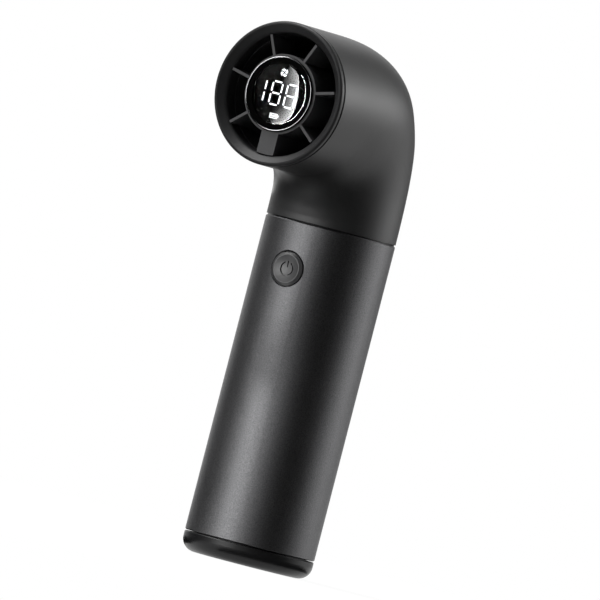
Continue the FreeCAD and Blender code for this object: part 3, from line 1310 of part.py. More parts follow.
NODES = {
    "head_shell": make_head_shell,
    "nozzle_ring": make_nozzle_ring,
    "duct_gasket": make_duct_gasket,
    "duct_stator": make_duct_stator,
    "inlet_bell": make_inlet_bell,
    "rear_grille": make_rear_grille,
    "motor_shaft": make_motor_shaft,
    "front_bearing": make_front_bearing,
    "rear_bearing": make_rear_bearing,
    "bearing_plate": make_bearing_plate,
    "rotor_magnet": make_rotor_magnet,
    "stator_core": make_stator_core,
    "stator_windings": make_stator_windings,
    "impeller": make_impeller,
    "impeller_nut": make_impeller_nut,
    "display_bezel": make_display_bezel,
    "chrome_ring": make_chrome_ring,
    "display_lens": make_display_lens,
    "display_segments": make_display_segments,
    "display_module": make_display_module,
    "display_board": make_display_board,
    "display_cable": make_display_cable,
    "motor_leads": make_motor_leads,
    "neck_coupler": make_neck_coupler,
    "handle_tube": make_handle_tube,
    "end_cap": make_end_cap,
    "tie_rods": make_tie_rods,
    "boss_inserts": make_boss_inserts,
    "battery_frame": make_battery_frame,
    "battery_cells": make_battery_cells,
    "cell_straps": make_cell_straps,
    "control_board": make_control_board,
    "board_components": make_board_components,
    "board_screws": make_board_screws,
    "tact_switch": make_tact_switch,
    "switch_plunger": make_switch_plunger,
    "power_button": make_power_button,
    "button_seal": make_button_seal,
    "button_clip": make_button_clip,
    "button_guide": make_button_guide,
    "charge_board": make_charge_board,
    "usb_socket": make_usb_socket,
    "charge_leads": make_charge_leads,
}


def main():
    os.makedirs("parts", exist_ok=True)
    for name, make in NODES.items():
        shape = make()
        shape.exportStep("parts/" + name + ".step")


main()
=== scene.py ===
"""Looks of a hand-held car dryer blower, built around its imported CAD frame, in metres."""

import json
import logging
import math
from dataclasses import dataclass, field
from enum import Enum
from typing import Any, Optional, Union

import bmesh
import bpy
from mathutils import Matrix, Vector


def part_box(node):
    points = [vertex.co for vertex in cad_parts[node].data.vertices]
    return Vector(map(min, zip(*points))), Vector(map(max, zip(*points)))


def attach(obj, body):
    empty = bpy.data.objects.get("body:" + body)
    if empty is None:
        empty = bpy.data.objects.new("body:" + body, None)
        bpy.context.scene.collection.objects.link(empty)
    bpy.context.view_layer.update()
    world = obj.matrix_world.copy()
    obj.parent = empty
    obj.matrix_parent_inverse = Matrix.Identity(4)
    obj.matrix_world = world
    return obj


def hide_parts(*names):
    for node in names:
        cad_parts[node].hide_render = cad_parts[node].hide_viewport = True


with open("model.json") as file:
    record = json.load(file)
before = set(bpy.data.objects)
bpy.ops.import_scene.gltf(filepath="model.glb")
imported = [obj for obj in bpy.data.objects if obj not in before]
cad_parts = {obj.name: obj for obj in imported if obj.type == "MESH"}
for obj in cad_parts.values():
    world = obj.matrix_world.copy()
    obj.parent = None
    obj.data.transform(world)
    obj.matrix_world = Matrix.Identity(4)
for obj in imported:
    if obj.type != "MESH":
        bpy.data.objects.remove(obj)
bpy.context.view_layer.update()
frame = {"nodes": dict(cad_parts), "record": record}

LOG = logging.getLogger("blower")
MM = 0.001
STUDIO_MIDDLE = Vector((0.0, 0.0, 0.1))
TUBE_TOP = Vector((0.0, 0.0, 0.116))
NECK_CREASE = Vector((-0.0065, -0.0338, 0.1402))
SHARP_DEG = 35.0

Triple = tuple[float, float, float]
Colour = Triple
Term = Union["Socket", float, int, Triple]

BLACK = (0.0, 0.0, 0.0)
WHITE = (1.0, 1.0, 1.0)
EVEN = (1.0, 1.0, 1.0)


def evenly(first: float, last: float, count: int) -> list[float]:
    """Values from first to last in count equal steps, both ends among them."""
    return [first + (last - first) * k / count for k in range(count + 1)]


def lit(colour: Colour, factor: float) -> Colour:
    """A colour made lighter or darker by a factor."""
    return tuple(min(1.0, channel * factor) for channel in colour)


class Body(Enum):
    """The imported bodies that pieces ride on."""

    HOUSING = "housing"
    ROTOR = "rotor"
    BUTTON = "button"


class Grain(Enum):
    """Kinds of fine surface that a moulded or blasted finish can have."""

    FINE = "fine"
    COARSE = "coarse"
    STREAKED = "streaked"


class Socket:
    """A node's output that takes part in Python arithmetic inside one node tree."""

    def __init__(self, tree: bpy.types.NodeTree, output: bpy.types.NodeSocket) -> None:
        """Wraps an output socket.

        Args:
            tree: The node tree that new maths nodes go into.
            output: The socket whose value is used.
        """
        self.tree = tree
        self.output = output

    @property
    def is_vector(self) -> bool:
        """Whether the socket carries three numbers."""
        return self.output.type in ("VECTOR", "RGBA")

    def _feed(self, node: bpy.types.Node, index: int, term: Term) -> None:
        """Puts a number, a triple or a link into one input of a node.

        Args:
            node: The node.
            index: The input's place.
            term: What goes into it.
        """
        if isinstance(term, Socket):
            self.tree.links.new(term.output, node.inputs[index])
        elif node.inputs[index].type == "VECTOR" and not isinstance(term, tuple):
            node.inputs[index].default_value = (term, term, term)
        else:
            node.inputs[index].default_value = term

    def combine(self, operation: str, *terms: Term) -> "Socket":
        """Adds a maths node for an operation on the terms.

        Args:
            operation: The node's operation, such as ADD.
            terms: The operands in order, this socket among them.

        Returns:
            The result's socket.
        """
        vector = any(isinstance(t, tuple) or (isinstance(t, Socket) and t.is_vector) for t in terms)
        node = self.tree.nodes.new("ShaderNodeVectorMath" if vector else "ShaderNodeMath")
        node.operation = operation
        for index, term in enumerate(terms):
            self._feed(node, index, term)
        return Socket(self.tree, node.outputs[0])

    def __add__(self, other: Term) -> "Socket":
        """self + other."""
        return self.combine("ADD", self, other)

    def __radd__(self, other: Term) -> "Socket":
        """other + self."""
        return self.combine("ADD", other, self)

    def __sub__(self, other: Term) -> "Socket":
        """self - other."""
        return self.combine("SUBTRACT", self, other)

    def __rsub__(self, other: Term) -> "Socket":
        """other - self."""
        return self.combine("SUBTRACT", other, self)

    def __mul__(self, other: Term) -> "Socket":
        """self * other."""
        return self.combine("MULTIPLY", self, other)

    def __rmul__(self, other: Term) -> "Socket":
        """other * self."""
        return self.combine("MULTIPLY", other, self)

    def __truediv__(self, other: Term) -> "Socket":
        """self / other."""
        return self.combine("DIVIDE", self, other)

    def __rtruediv__(self, other: Term) -> "Socket":
        """other / self."""
        return self.combine("DIVIDE", other, self)

    def __pow__(self, other: Term) -> "Socket":
        """self to the power other."""
        return self.combine("POWER", self, other)

    def __mod__(self, other: Term) -> "Socket":
        """What is left of self after whole others."""
        return self.combine("MODULO", self, other)

    def __floordiv__(self, other: Term) -> "Socket":
        """self / other, rounded down."""
        return (self / other).apply("FLOOR")

    def __lt__(self, other: Term) -> "Socket":
        """1 where self is less than other, else 0."""
        return self.combine("LESS_THAN", self, other)

    def __abs__(self) -> "Socket":
        """self without its sign."""
        return self.apply("ABSOLUTE")

    def apply(self, operation: str) -> "Socket":
        """An operation that takes self alone, such as SINE."""
        return self.combine(operation, self)

    def at_most(self, other: Term) -> "Socket":
        """The smaller of self and other."""
        return self.combine("MINIMUM", self, other)

    def at_least(self, other: Term) -> "Socket":
        """The larger of self and other."""
        return self.combine("MAXIMUM", self, other)

    def in_unit(self) -> "Socket":
        """self kept between 0 and 1."""
        return self.at_least(0.0).at_most(1.0)


class Builder:
    """Builder of one node tree."""

    prefix = "ShaderNode"

    def __init__(self, tree: bpy.types.NodeTree) -> None:
        """Starts with an empty tree."""
        self.tree = tree
        self.tree.nodes.clear()

    def node(self, kind: str, settings: Optional[dict[str, Any]] = None,
             sockets: Optional[dict[Any, Any]] = None, output: Any = 0) -> Socket:
        """Adds a node.

        Args:
            kind: The node's type, in full or without the builder's prefix.
            settings: Properties of the node, set first. A key "stops" fills a ramp with places and greys.
            sockets: Values or links by input name or index.
            output: Name or index of the output that is returned.

        Returns:
            The chosen output, wrapped.
        """
        full = kind if kind.startswith(("ShaderNode", "GeometryNode")) else self.prefix + kind
        node = self.tree.nodes.new(full)
        for key, value in (settings or {}).items():
            if key == "stops":
                ramp = node.color_ramp.elements
                while len(ramp) < len(value):
                    ramp.new(1.0)
                for element, (place, grey) in zip(ramp, value):
                    element.position = place
                    element.color = (grey, grey, grey, 1.0)
            else:
                setattr(node, key, value)
        for key, value in (sockets or {}).items():
            slot = node.inputs[key]
            if isinstance(value, Socket):
                self.tree.links.new(value.output, slot)
            elif slot.type == "RGBA" and len(value) == 3:
                slot.default_value = (*value, 1.0)
            else:
                slot.default_value = value
        return Socket(self.tree, node.outputs[output])


class Shader(Builder):
    """Builder of one material's or the world's node tree."""

    def __init__(self, name: str, tree: Optional[bpy.types.NodeTree] = None) -> None:
        """Starts an empty tree.

        Args:
            name: The name of a new material.
            tree: The world's tree, instead of a new material's.
        """
        self.material = None
        if tree is None:
            self.material = bpy.data.materials.new(name)
            self.material.use_nodes = True
            tree = self.material.node_tree
        super().__init__(tree)

    def place(self) -> Socket:
        """Object coordinates, in metres."""
        return self.node("TexCoord", output="Object")

    def noise(self, size_mm: float, detail: float = 2.0, stretch: Triple = EVEN) -> Socket:
        """Smooth noise from 0 to 1.

        Args:
            size_mm: Size of one feature.
            detail: Number of finer layers.
            stretch: Factor on each axis of the pattern's frequency.

        Returns:
            The noise's value.
        """
        return self.node("TexNoise", sockets={
            "Vector": self.place() * stretch, "Scale": 1.0 / (size_mm * MM), "Detail": detail})

    def cells(self, size_mm: float) -> Socket:
        """Distance from the middle of cells of about size_mm."""
        return self.node("TexVoronoi", {"feature": "F1"}, {
            "Vector": self.place(), "Scale": 1.0 / (size_mm * MM)}, "Distance")

    def swing(self, base: float, *patterns: tuple[Socket, float]) -> Socket:
        """A value that patterns from 0 to 1 raise and lower.

        Args:
            base: The value where every pattern is at 0.5.
            patterns: Each pattern and the whole width of its swing.

        Returns:
            The value.
        """
        total: Term = base - sum(width for _, width in patterns) / 2
        for pattern, width in patterns:
            total = pattern * width + total
        return total

    def blend(self, factor: Term, low: Term, high: Term) -> Socket:
        """A colour between low and high.

        Args:
            factor: 0 for low, 1 for high.
            low: Colour or socket.
            high: Colour or socket.

        Returns:
            The mixed colour.
        """
        node = self.tree.nodes.new("ShaderNodeMix")
        node.data_type = "RGBA"
        node.clamp_factor = True
        inputs = {"Factor_Float": factor, "A_Color": low, "B_Color": high}
        for slot in node.inputs:
            if slot.identifier in inputs:
                term = inputs[slot.identifier]
                if isinstance(term, Socket):
                    self.tree.links.new(term.output, slot)
                elif slot.type == "RGBA":
                    slot.default_value = (*term, 1.0)
                else:
                    slot.default_value = term
        found = next(s for s in node.outputs if s.identifier == "Result_Color")
        return Socket(self.tree, found)

    def tone(self, pattern: Socket, colour: Colour, darkest: float, brightest: float) -> Socket:
        """A colour that a pattern darkens and brightens.

        Args:
            pattern: 0 for darkest, 1 for brightest.
            colour: The colour itself.
            darkest: Its factor where the pattern is 0.
            brightest: Its factor where the pattern is 1.

        Returns:
            The colour.
        """
        return self.blend(pattern, lit(colour, darkest), lit(colour, brightest))

    def bump(self, height: Socket, depth_mm: float, under: Optional[Socket] = None) -> Socket:
        """A normal that follows a height pattern.

        Args:
            height: The pattern, 0 to 1.
            depth_mm: Depth for a height of 1.
            under: A normal that this one is laid over.

        Returns:
            The normal.
        """
        sockets = {"Height": height, "Distance": depth_mm * MM, "Strength": 1.0}
        if under is not None:
            sockets["Normal"] = under
        return self.node("Bump", sockets=sockets)

    def surface(self, **sockets: Any) -> Socket:
        """A Principled shader; underscores in the names stand for spaces."""
        return self.node("BsdfPrincipled", sockets={
            key.replace("_", " "): value for key, value in sockets.items()})

    def finish(self, shader: Socket) -> Optional[bpy.types.Material]:
        """Links a shader to the output of the material or the world.

        Args:
            shader: The shader.

        Returns:
            The material, or nothing for the world.
        """
        kind = "Material" if self.material else "World"
        output = self.tree.nodes.new("ShaderNodeOutput" + kind)
        self.tree.links.new(shader.output, output.inputs["Surface"])
        return self.material


class Form(Builder):
    """Builder of a Geometry Nodes tree that is baked to one plain mesh."""

    prefix = "GeometryNode"

    def __init__(self, name: str) -> None:
        """Starts an empty tree.

        Args:
            name: The name of the tree and of the piece that it makes.
        """
        super().__init__(bpy.data.node_groups.new(name, "GeometryNodeTree"))
        self.name = name
        self.sizes: dict[str, Any] = {}
        self.tree.interface.new_socket("Geometry", in_out="OUTPUT", socket_type="NodeSocketGeometry")
        self.entry = self.tree.nodes.new("NodeGroupInput")

    def size(self, name: str, value: Union[int, float, Vector]) -> Socket:
        """Adds a named input.

        Args:
            name: What the size measures.
            value: Its value, a whole number for a count.

        Returns:
            The input's socket.
        """
        kind = {int: "NodeSocketInt", float: "NodeSocketFloat", Vector: "NodeSocketVector"}[type(value)]
        item = self.tree.interface.new_socket(name, in_out="INPUT", socket_type=kind)
        self.sizes[item.identifier] = value
        return Socket(self.tree, self.entry.outputs[name])

    def bake(self, geometry: Socket, material: bpy.types.Material) -> bpy.types.Object:
        """Turns the tree's result into a piece with a plain mesh.

        Args:
            geometry: What the tree makes.
            material: The finish of all its faces.

        Returns:
            The piece, at the origin, with no modifier.
        """
        real = self.node("RealizeInstances", sockets={"Geometry": geometry})
        dressed = self.node("SetMaterial", sockets={"Geometry": real, "Material": material})
        leave = self.tree.nodes.new("NodeGroupOutput")
        self.tree.links.new(dressed.output, leave.inputs["Geometry"])
        piece = bpy.data.objects.new(self.name, bpy.data.meshes.new(self.name))
        bpy.context.scene.collection.objects.link(piece)
        modifier = piece.modifiers.new(self.name, "NODES")
        modifier.node_group = self.tree
        for identifier, value in self.sizes.items():
            modifier[identifier] = value
        graph = bpy.context.evaluated_depsgraph_get()
        mesh = bpy.data.meshes.new_from_object(piece.evaluated_get(graph), depsgraph=graph)
        piece.modifiers.remove(modifier)
        piece.data = mesh
        return piece


@dataclass(frozen=True)
class Finish:
    """A named finish, made as a Principled shader."""

    name: str

    def sockets(self, shader: Shader) -> dict[str, Any]:
        """The shader's inputs by name; underscores in the names stand for spaces."""
        raise NotImplementedError

    def make(self) -> bpy.types.Material:
        """Builds the material."""
        shader = Shader(self.name)
        return shader.finish(shader.surface(**self.sockets(shader)))


@dataclass(frozen=True)
class Moulded(Finish):
    """Injection-moulded plastic or rubber with the fine texture of its tool."""

    colour: Colour
    roughness: float
    grain: Grain = Grain.FINE
    grain_mm: float = 0.25
    depth_mm: float = 0.006
    mottle: float = 0.12
    specular: float = 0.5
    grain_swing: float = 0.05
    cloud_mm: float = 14.0
    cloud_share: float = 0.7
    cloud_swing: float = 0.06
    streak: float = 0.12
    pebble: float = 2.2

    def sockets(self, shader: Shader) -> dict[str, Any]:
        """Broad clouds and fine grain in the colour and the roughness, and the grain as relief.

        Args:
            shader: The material's tree.

        Returns:
            The shader's inputs by name.
        """
        stretch = (1.0, 1.0, self.streak) if self.grain is Grain.STREAKED else EVEN
        fine = shader.noise(self.grain_mm, detail=3.0, stretch=stretch)
        cloud = shader.noise(self.cloud_mm)
        mottling = cloud * self.cloud_share + fine * (1 - self.cloud_share)
        normal = shader.bump(fine, self.depth_mm)
        if self.grain is Grain.COARSE:
            normal = shader.bump(shader.cells(self.grain_mm * self.pebble), self.depth_mm, normal)
        return {
            "Base_Color": shader.tone(mottling, self.colour, 1 - self.mottle, 1 + self.mottle),
            "Roughness": shader.swing(self.roughness, (cloud, self.cloud_swing), (fine, self.grain_swing)),
            "Normal": normal,
            "Specular_IOR_Level": self.specular,
        }


@dataclass(frozen=True)
class BlastedAluminium(Finish):
    """Bead-blasted aluminium, anodised dark, whose pits catch the light as fine speckle."""

    colour: Colour
    roughness: float
    pit_mm: float = 0.5
    pit_swing: float = 0.1
    depth_mm: float = 0.018
    spark_size: float = 0.8
    spark_depth: float = 0.7
    spark_gain: float = 2.0
    spark_share: float = 0.85
    cloud_mm: float = 22.0
    cloud_swing: float = 0.05
    darkest: float = 0.66
    brightest: float = 1.38

    def sockets(self, shader: Shader) -> dict[str, Any]:
        """Sparks in the colour, pits in the roughness, and both as relief.

        Args:
            shader: The material's tree.

        Returns:
            The shader's inputs by name.
        """
        pits = shader.cells(self.pit_mm)
        spark = shader.noise(self.pit_mm * self.spark_size)
        cloud = shader.noise(self.cloud_mm)
        glint = (spark - 0.5) * self.spark_gain + 0.5
        speckle = glint * self.spark_share + cloud * (1 - self.spark_share)
        return {
            "Base_Color": shader.tone(speckle, self.colour, self.darkest, self.brightest),
            "Metallic": 1.0,
            "Roughness": shader.swing(self.roughness, (pits, self.pit_swing), (cloud, self.cloud_swing)),
            "Normal": shader.bump(pits, self.depth_mm, shader.bump(spark, self.depth_mm * self.spark_depth)),
        }


@dataclass(frozen=True)
class ClearCover(Finish):
    """Polished smoked cover over the display."""

    tint: Colour
    ior: float = 1.47
    haze_mm: float = 2.4
    haze: float = 0.04

    def sockets(self, shader: Shader) -> dict[str, Any]:
        """A tint with a faint haze in it.

        Args:
            shader: The material's tree.

        Returns:
            The shader's inputs by name.
        """
        haze = shader.noise(self.haze_mm, detail=3.0)
        return {
            "Base_Color": shader.tone(haze, self.tint, 1 - self.haze, 1 + self.haze),
            "Roughness": 0.0,
            "Transmission_Weight": 1.0,
            "IOR": self.ior,
        }


@dataclass(frozen=True)
class Bonded(Finish):
    """Back of the display's cover, glued clear to the marks behind it, so that it mirrors nothing."""

    def sockets(self, shader: Shader) -> dict[str, Any]:
        """No surface of its own."""
        return {"Base_Color": WHITE, "Alpha": 0.0}


@dataclass(frozen=True)
class Metal(Finish):
    """Bare or plated metal with the lines of its machining."""

    colour: Colour
    roughness: float
    line_mm: float = 0.12
    depth_mm: float = 0.003
    line_swing: float = 0.08
    stain_mm: float = 6.0
    stain_share: float = 0.6
    stain_swing: float = 0.04
    darkest: float = 0.86
    brightest: float = 1.1

    def sockets(self, shader: Shader) -> dict[str, Any]:
        """Stains and lines in the colour and the roughness, and the lines as relief.

        Args:
            shader: The material's tree.

        Returns:
            The shader's inputs by name.
        """
        lines = shader.noise(self.line_mm, detail=3.0)
        stain = shader.noise(self.stain_mm, detail=3.0)
        wear = stain * self.stain_share + lines * (1 - self.stain_share)
        return {
            "Base_Color": shader.tone(wear, self.colour, self.darkest, self.brightest),
            "Metallic": 1.0,
            "Roughness": shader.swing(self.roughness, (lines, self.line_swing), (stain, self.stain_swing)),
            "Normal": shader.bump(lines, self.depth_mm),
        }


@dataclass(frozen=True)
class LitMarks(Finish):
    """Lit digits and icons, of which the battery icon at the bottom is dimmer."""

    colour: Colour
    strength: float
    battery_tall_mm: float = 2.9
    battery_dimmed: float = 0.45
    uneven_mm: float = 1.3
    darkest: float = 0.9
    roughness: float = 0.4

    def sockets(self, shader: Shader) -> dict[str, Any]:
        """Slightly uneven light, dimmed below the top of the battery icon.

        Args:
            shader: The material's tree.

        Returns:
            The shader's inputs by name.
        """
        low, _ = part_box("display_segments")
        height = shader.node("SeparateXYZ", sockets={0: shader.place()}, output="Z")
        battery = height < low.z + self.battery_tall_mm * MM
        patches = shader.noise(self.uneven_mm, detail=1.0)
        bright = shader.blend(patches, lit(self.colour, self.darkest), self.colour)
        colour = shader.blend(battery, bright, lit(self.colour, self.battery_dimmed))
        return {
            "Base_Color": colour,
            "Roughness": self.roughness,
            "Emission_Color": colour,
            "Emission_Strength": self.strength,
        }


@dataclass(frozen=True)
class Enamelled(Finish):
    """Enamelled copper wire, darker where the varnish has gathered in bands."""

    colour: Colour
    band_mm: float
    waviness: float = 1.5
    band_depth_mm: float = 0.06
    enamel_mm: float = 3.0
    enamel_swing: float = 0.1
    band_share: float = 0.7
    darkest: float = 0.55
    brightest: float = 1.2
    metallic: float = 0.9
    roughness: float = 0.33
    varnish: float = 0.4

    def sockets(self, shader: Shader) -> dict[str, Any]:
        """Bands of varnish in the colour and as relief.

        Args:
            shader: The material's tree.

        Returns:
            The shader's inputs by name.
        """
        bands = shader.node("TexWave", {"wave_type": "BANDS", "bands_direction": "DIAGONAL"}, {
            "Vector": shader.place(), "Scale": 1.0 / (self.band_mm * MM), "Distortion": self.waviness}, "Fac")
        enamel = shader.noise(self.enamel_mm)
        varnish = bands * self.band_share + enamel * (1 - self.band_share)
        return {
            "Base_Color": shader.tone(varnish, self.colour, self.darkest, self.brightest),
            "Metallic": self.metallic,
            "Roughness": shader.swing(self.roughness, (enamel, self.enamel_swing)),
            "Coat_Weight": self.varnish,
            "Normal": shader.bump(bands, self.band_depth_mm),
        }


@dataclass(frozen=True)
class Circuit(Finish):
    """Green solder mask over right-angled tracks, with bare pads."""

    mask: Colour
    track: Colour
    pad: Colour
    tracks_per_m: float = 420.0
    pads_per_m: float = 300.0
    track_stops: tuple[tuple[float, float], ...] = ((0.0, 1.0), (0.1, 0.0))
    pad_stops: tuple[tuple[float, float], ...] = ((0.16, 1.0), (0.2, 0.0))
    track_depth_mm: float = 0.03
    roughness: float = 0.32
    lacquer: float = 0.3

    def sockets(self, shader: Shader) -> dict[str, Any]:
        """Tracks and pads in the colour, and the tracks as relief.

        Args:
            shader: The material's tree.

        Returns:
            The shader's inputs by name.
        """
        edges = shader.node("TexVoronoi", {"distance": "CHEBYCHEV", "feature": "DISTANCE_TO_EDGE"}, {
            "Vector": shader.place(), "Scale": self.tracks_per_m}, "Distance")
        dots = shader.node("TexVoronoi", {"distance": "EUCLIDEAN"}, {
            "Vector": shader.place(), "Scale": self.pads_per_m}, "Distance")
        tracks = shader.node("ValToRGB", {"stops": self.track_stops}, {0: edges}, "Color")
        pads = shader.node("ValToRGB", {"stops": self.pad_stops}, {0: dots}, "Color")
        return {
            "Base_Color": shader.blend(pads, shader.blend(tracks, self.mask, self.track), self.pad),
            "Roughness": self.roughness,
            "Normal": shader.bump(tracks, self.track_depth_mm),
            "Coat_Weight": self.lacquer,
        }


@dataclass(frozen=True)
class ShrinkSleeve(Finish):
    """Shrink-wrapped sleeve of a battery cell, with wrinkles along it."""

    colour: Colour
    wrinkle_mm: float = 5.0
    wrinkle_stretch: Triple = (1.0, 1.0, 0.25)
    wrinkle_depth_mm: float = 0.04
    wrinkle_swing: float = 0.08
    mottle: float = 0.15
    roughness: float = 0.3
    film: float = 0.3

    def sockets(self, shader: Shader) -> dict[str, Any]:
        """Wrinkles in the colour, in the roughness and as relief.

        Args:
            shader: The material's tree.

        Returns:
            The shader's inputs by name.
        """
        wrinkle = shader.noise(self.wrinkle_mm, stretch=self.wrinkle_stretch)
        return {
            "Base_Color": shader.tone(wrinkle, self.colour, 1 - self.mottle, 1 + self.mottle),
            "Roughness": shader.swing(self.roughness, (wrinkle, self.wrinkle_swing)),
            "Normal": shader.bump(wrinkle, self.wrinkle_depth_mm),
            "Coat_Weight": self.film,
        }


# All but bonded_back are the record's slots. gloss_black has no shine of its own here, because the bezel
# and the module would mirror the studio as a grey haze. The gloss over the module is the cover's.
FINISHES = {finish.name: finish for finish in (
    Moulded("head_plastic", (0.005, 0.005, 0.0053), 0.49, depth_mm=0.005, specular=0.6),
    Moulded("ring_plastic", (0.009, 0.009, 0.0094), 0.44, depth_mm=0.003, specular=0.28),
    Moulded("duct_plastic", (0.022, 0.022, 0.023), 0.5),
    Moulded("gloss_black", (0.002, 0.002, 0.002), 0.95, specular=0.0),
    Metal("bright_ring", (0.2, 0.2, 0.205), 0.14, 0.3, 0.001),
    ClearCover("smoked_glass", (0.72, 0.73, 0.74)),
    Bonded("bonded_back"),
    LitMarks("lit_marks", (0.96, 0.98, 1.0), 0.9),
    BlastedAluminium("anodised_tube", (0.116, 0.116, 0.119), 0.435),
    Moulded("cap_plastic", (0.004, 0.004, 0.0043), 0.32, depth_mm=0.002, specular=0.3),
    Moulded("button_plastic", (0.02, 0.02, 0.0205), 0.34, depth_mm=0.003, specular=0.7),
    Moulded("rubber", (0.016, 0.016, 0.016), 0.72),
    Metal("steel", (0.56, 0.56, 0.57), 0.3),
    Metal("cast_alloy", (0.48, 0.48, 0.49), 0.46, 0.5, 0.02),
    Metal("dark_steel", (0.1, 0.1, 0.105), 0.36),
    Metal("brass", (0.74, 0.56, 0.28), 0.3),
    Enamelled("copper", (0.62, 0.24, 0.1), 2.1),
    ShrinkSleeve("cell_can", (0.05, 0.22, 0.4)),
    Moulded("frame_plastic", (0.72, 0.72, 0.68), 0.5),
    Circuit("board", (0.012, 0.1, 0.035), (0.03, 0.2, 0.08), (0.75, 0.6, 0.3)),
    Moulded("chip", (0.018, 0.018, 0.018), 0.5, Grain.COARSE),
    Moulded("fan_plastic", (0.02, 0.02, 0.021), 0.45, Grain.STREAKED),
    Moulded("lead_red", (0.5, 0.02, 0.015), 0.5),
    Moulded("lead_blue", (0.02, 0.06, 0.4), 0.5),
    Moulded("flex", (0.6, 0.3, 0.05), 0.35),
)}


class Dressing:
    """Puts each slot's finish on the CAD nodes that use the slot."""

    def __init__(self, record: dict[str, Any], nodes: dict[str, bpy.types.Object]) -> None:
        """Remembers what is dressed.

        Args:
            record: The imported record.
            nodes: The CAD nodes' objects by name.
        """
        self.record = record
        self.nodes = nodes
        self.made: dict[str, bpy.types.Material] = {}

    def material(self, name: str) -> bpy.types.Material:
        """The material of a finish, made once.

        Args:
            name: The finish's name, which for most is a slot of the record.

        Returns:
            The material.
        """
        if name not in self.made:
            self.made[name] = FINISHES[name].make()
        return self.made[name]

    def dress(self) -> None:
        """Gives every CAD node its finish."""
        for row in self.record["subparts"]:
            piece = self.nodes[row["node"]]
            piece.data.materials.clear()
            piece.data.materials.append(self.material(row["material_slot"]))
            LOG.info("dressed %s in %s", row["node"], row["material_slot"])


def settle(piece: bpy.types.Object, body: Body, slot: str, *nodes: str) -> bpy.types.Object:
    """Puts a finished piece on its body.

    Args:
        piece: The piece, with its material on it.
        body: The body that carries it.
        slot: The record's slot of its finish; not used.
        nodes: The CAD nodes that it stands for.

    Returns:
        The same piece.
    """
    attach(piece, body.value)
    if nodes:
        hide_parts(*nodes)
    LOG.info("%s rides on %s, %d faces", piece.name, body.value, len(piece.data.polygons))
    return piece


def spin_on_nozzle(name: str, outline: list[tuple[float, float]], corners: int, closed: bool,
                   material: bpy.types.Material) -> bpy.types.Object:
    """Spins an outline round the nozzle's axis.

    Args:
        name: The piece's name.
        outline: Points of radius and y, in metres. A radius of 0 is a pole.
        corners: Number of flat faces round the axis.
        closed: Whether the outline's end joins its start.
        material: The piece's finish.

    Returns:
        The piece.
    """
    low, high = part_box("nozzle_ring")
    axis_z = (low.z + high.z) / 2
    mesh = bpy.data.meshes.new(name)
    work = bmesh.new()
    rings = []
    for radius, y in outline:
        if radius == 0:
            rings.append([work.verts.new((0.0, y, axis_z))] * corners)
        else:
            rings.append([work.verts.new((radius * math.sin(t), y, axis_z + radius * math.cos(t)))
                          for t in evenly(0.0, math.tau, corners)[:-1]])
    following = rings[1:] + rings[:1] if closed else rings[1:]
    for near, far in zip(rings, following):
        for k in range(corners):
            around = (near[k], near[(k + 1) % corners], far[(k + 1) % corners], far[k])
            work.faces.new(list(dict.fromkeys(around)))
    bmesh.ops.recalc_face_normals(work, faces=work.faces)
    work.to_mesh(mesh)
    work.free()
    mesh.polygons.foreach_set("use_smooth", [True] * len(mesh.polygons))
    mesh.set_sharp_from_angle(angle=math.radians(SHARP_DEG))
    mesh.materials.append(material)
    piece = bpy.data.objects.new(name, mesh)
    bpy.context.scene.collection.objects.link(piece)
    return piece


class CoverFace(Enum):
    """Sides of the display's cover, by the place of their finish in its list."""

    FRONT = 0
    EDGE = 1
    BACK = 2


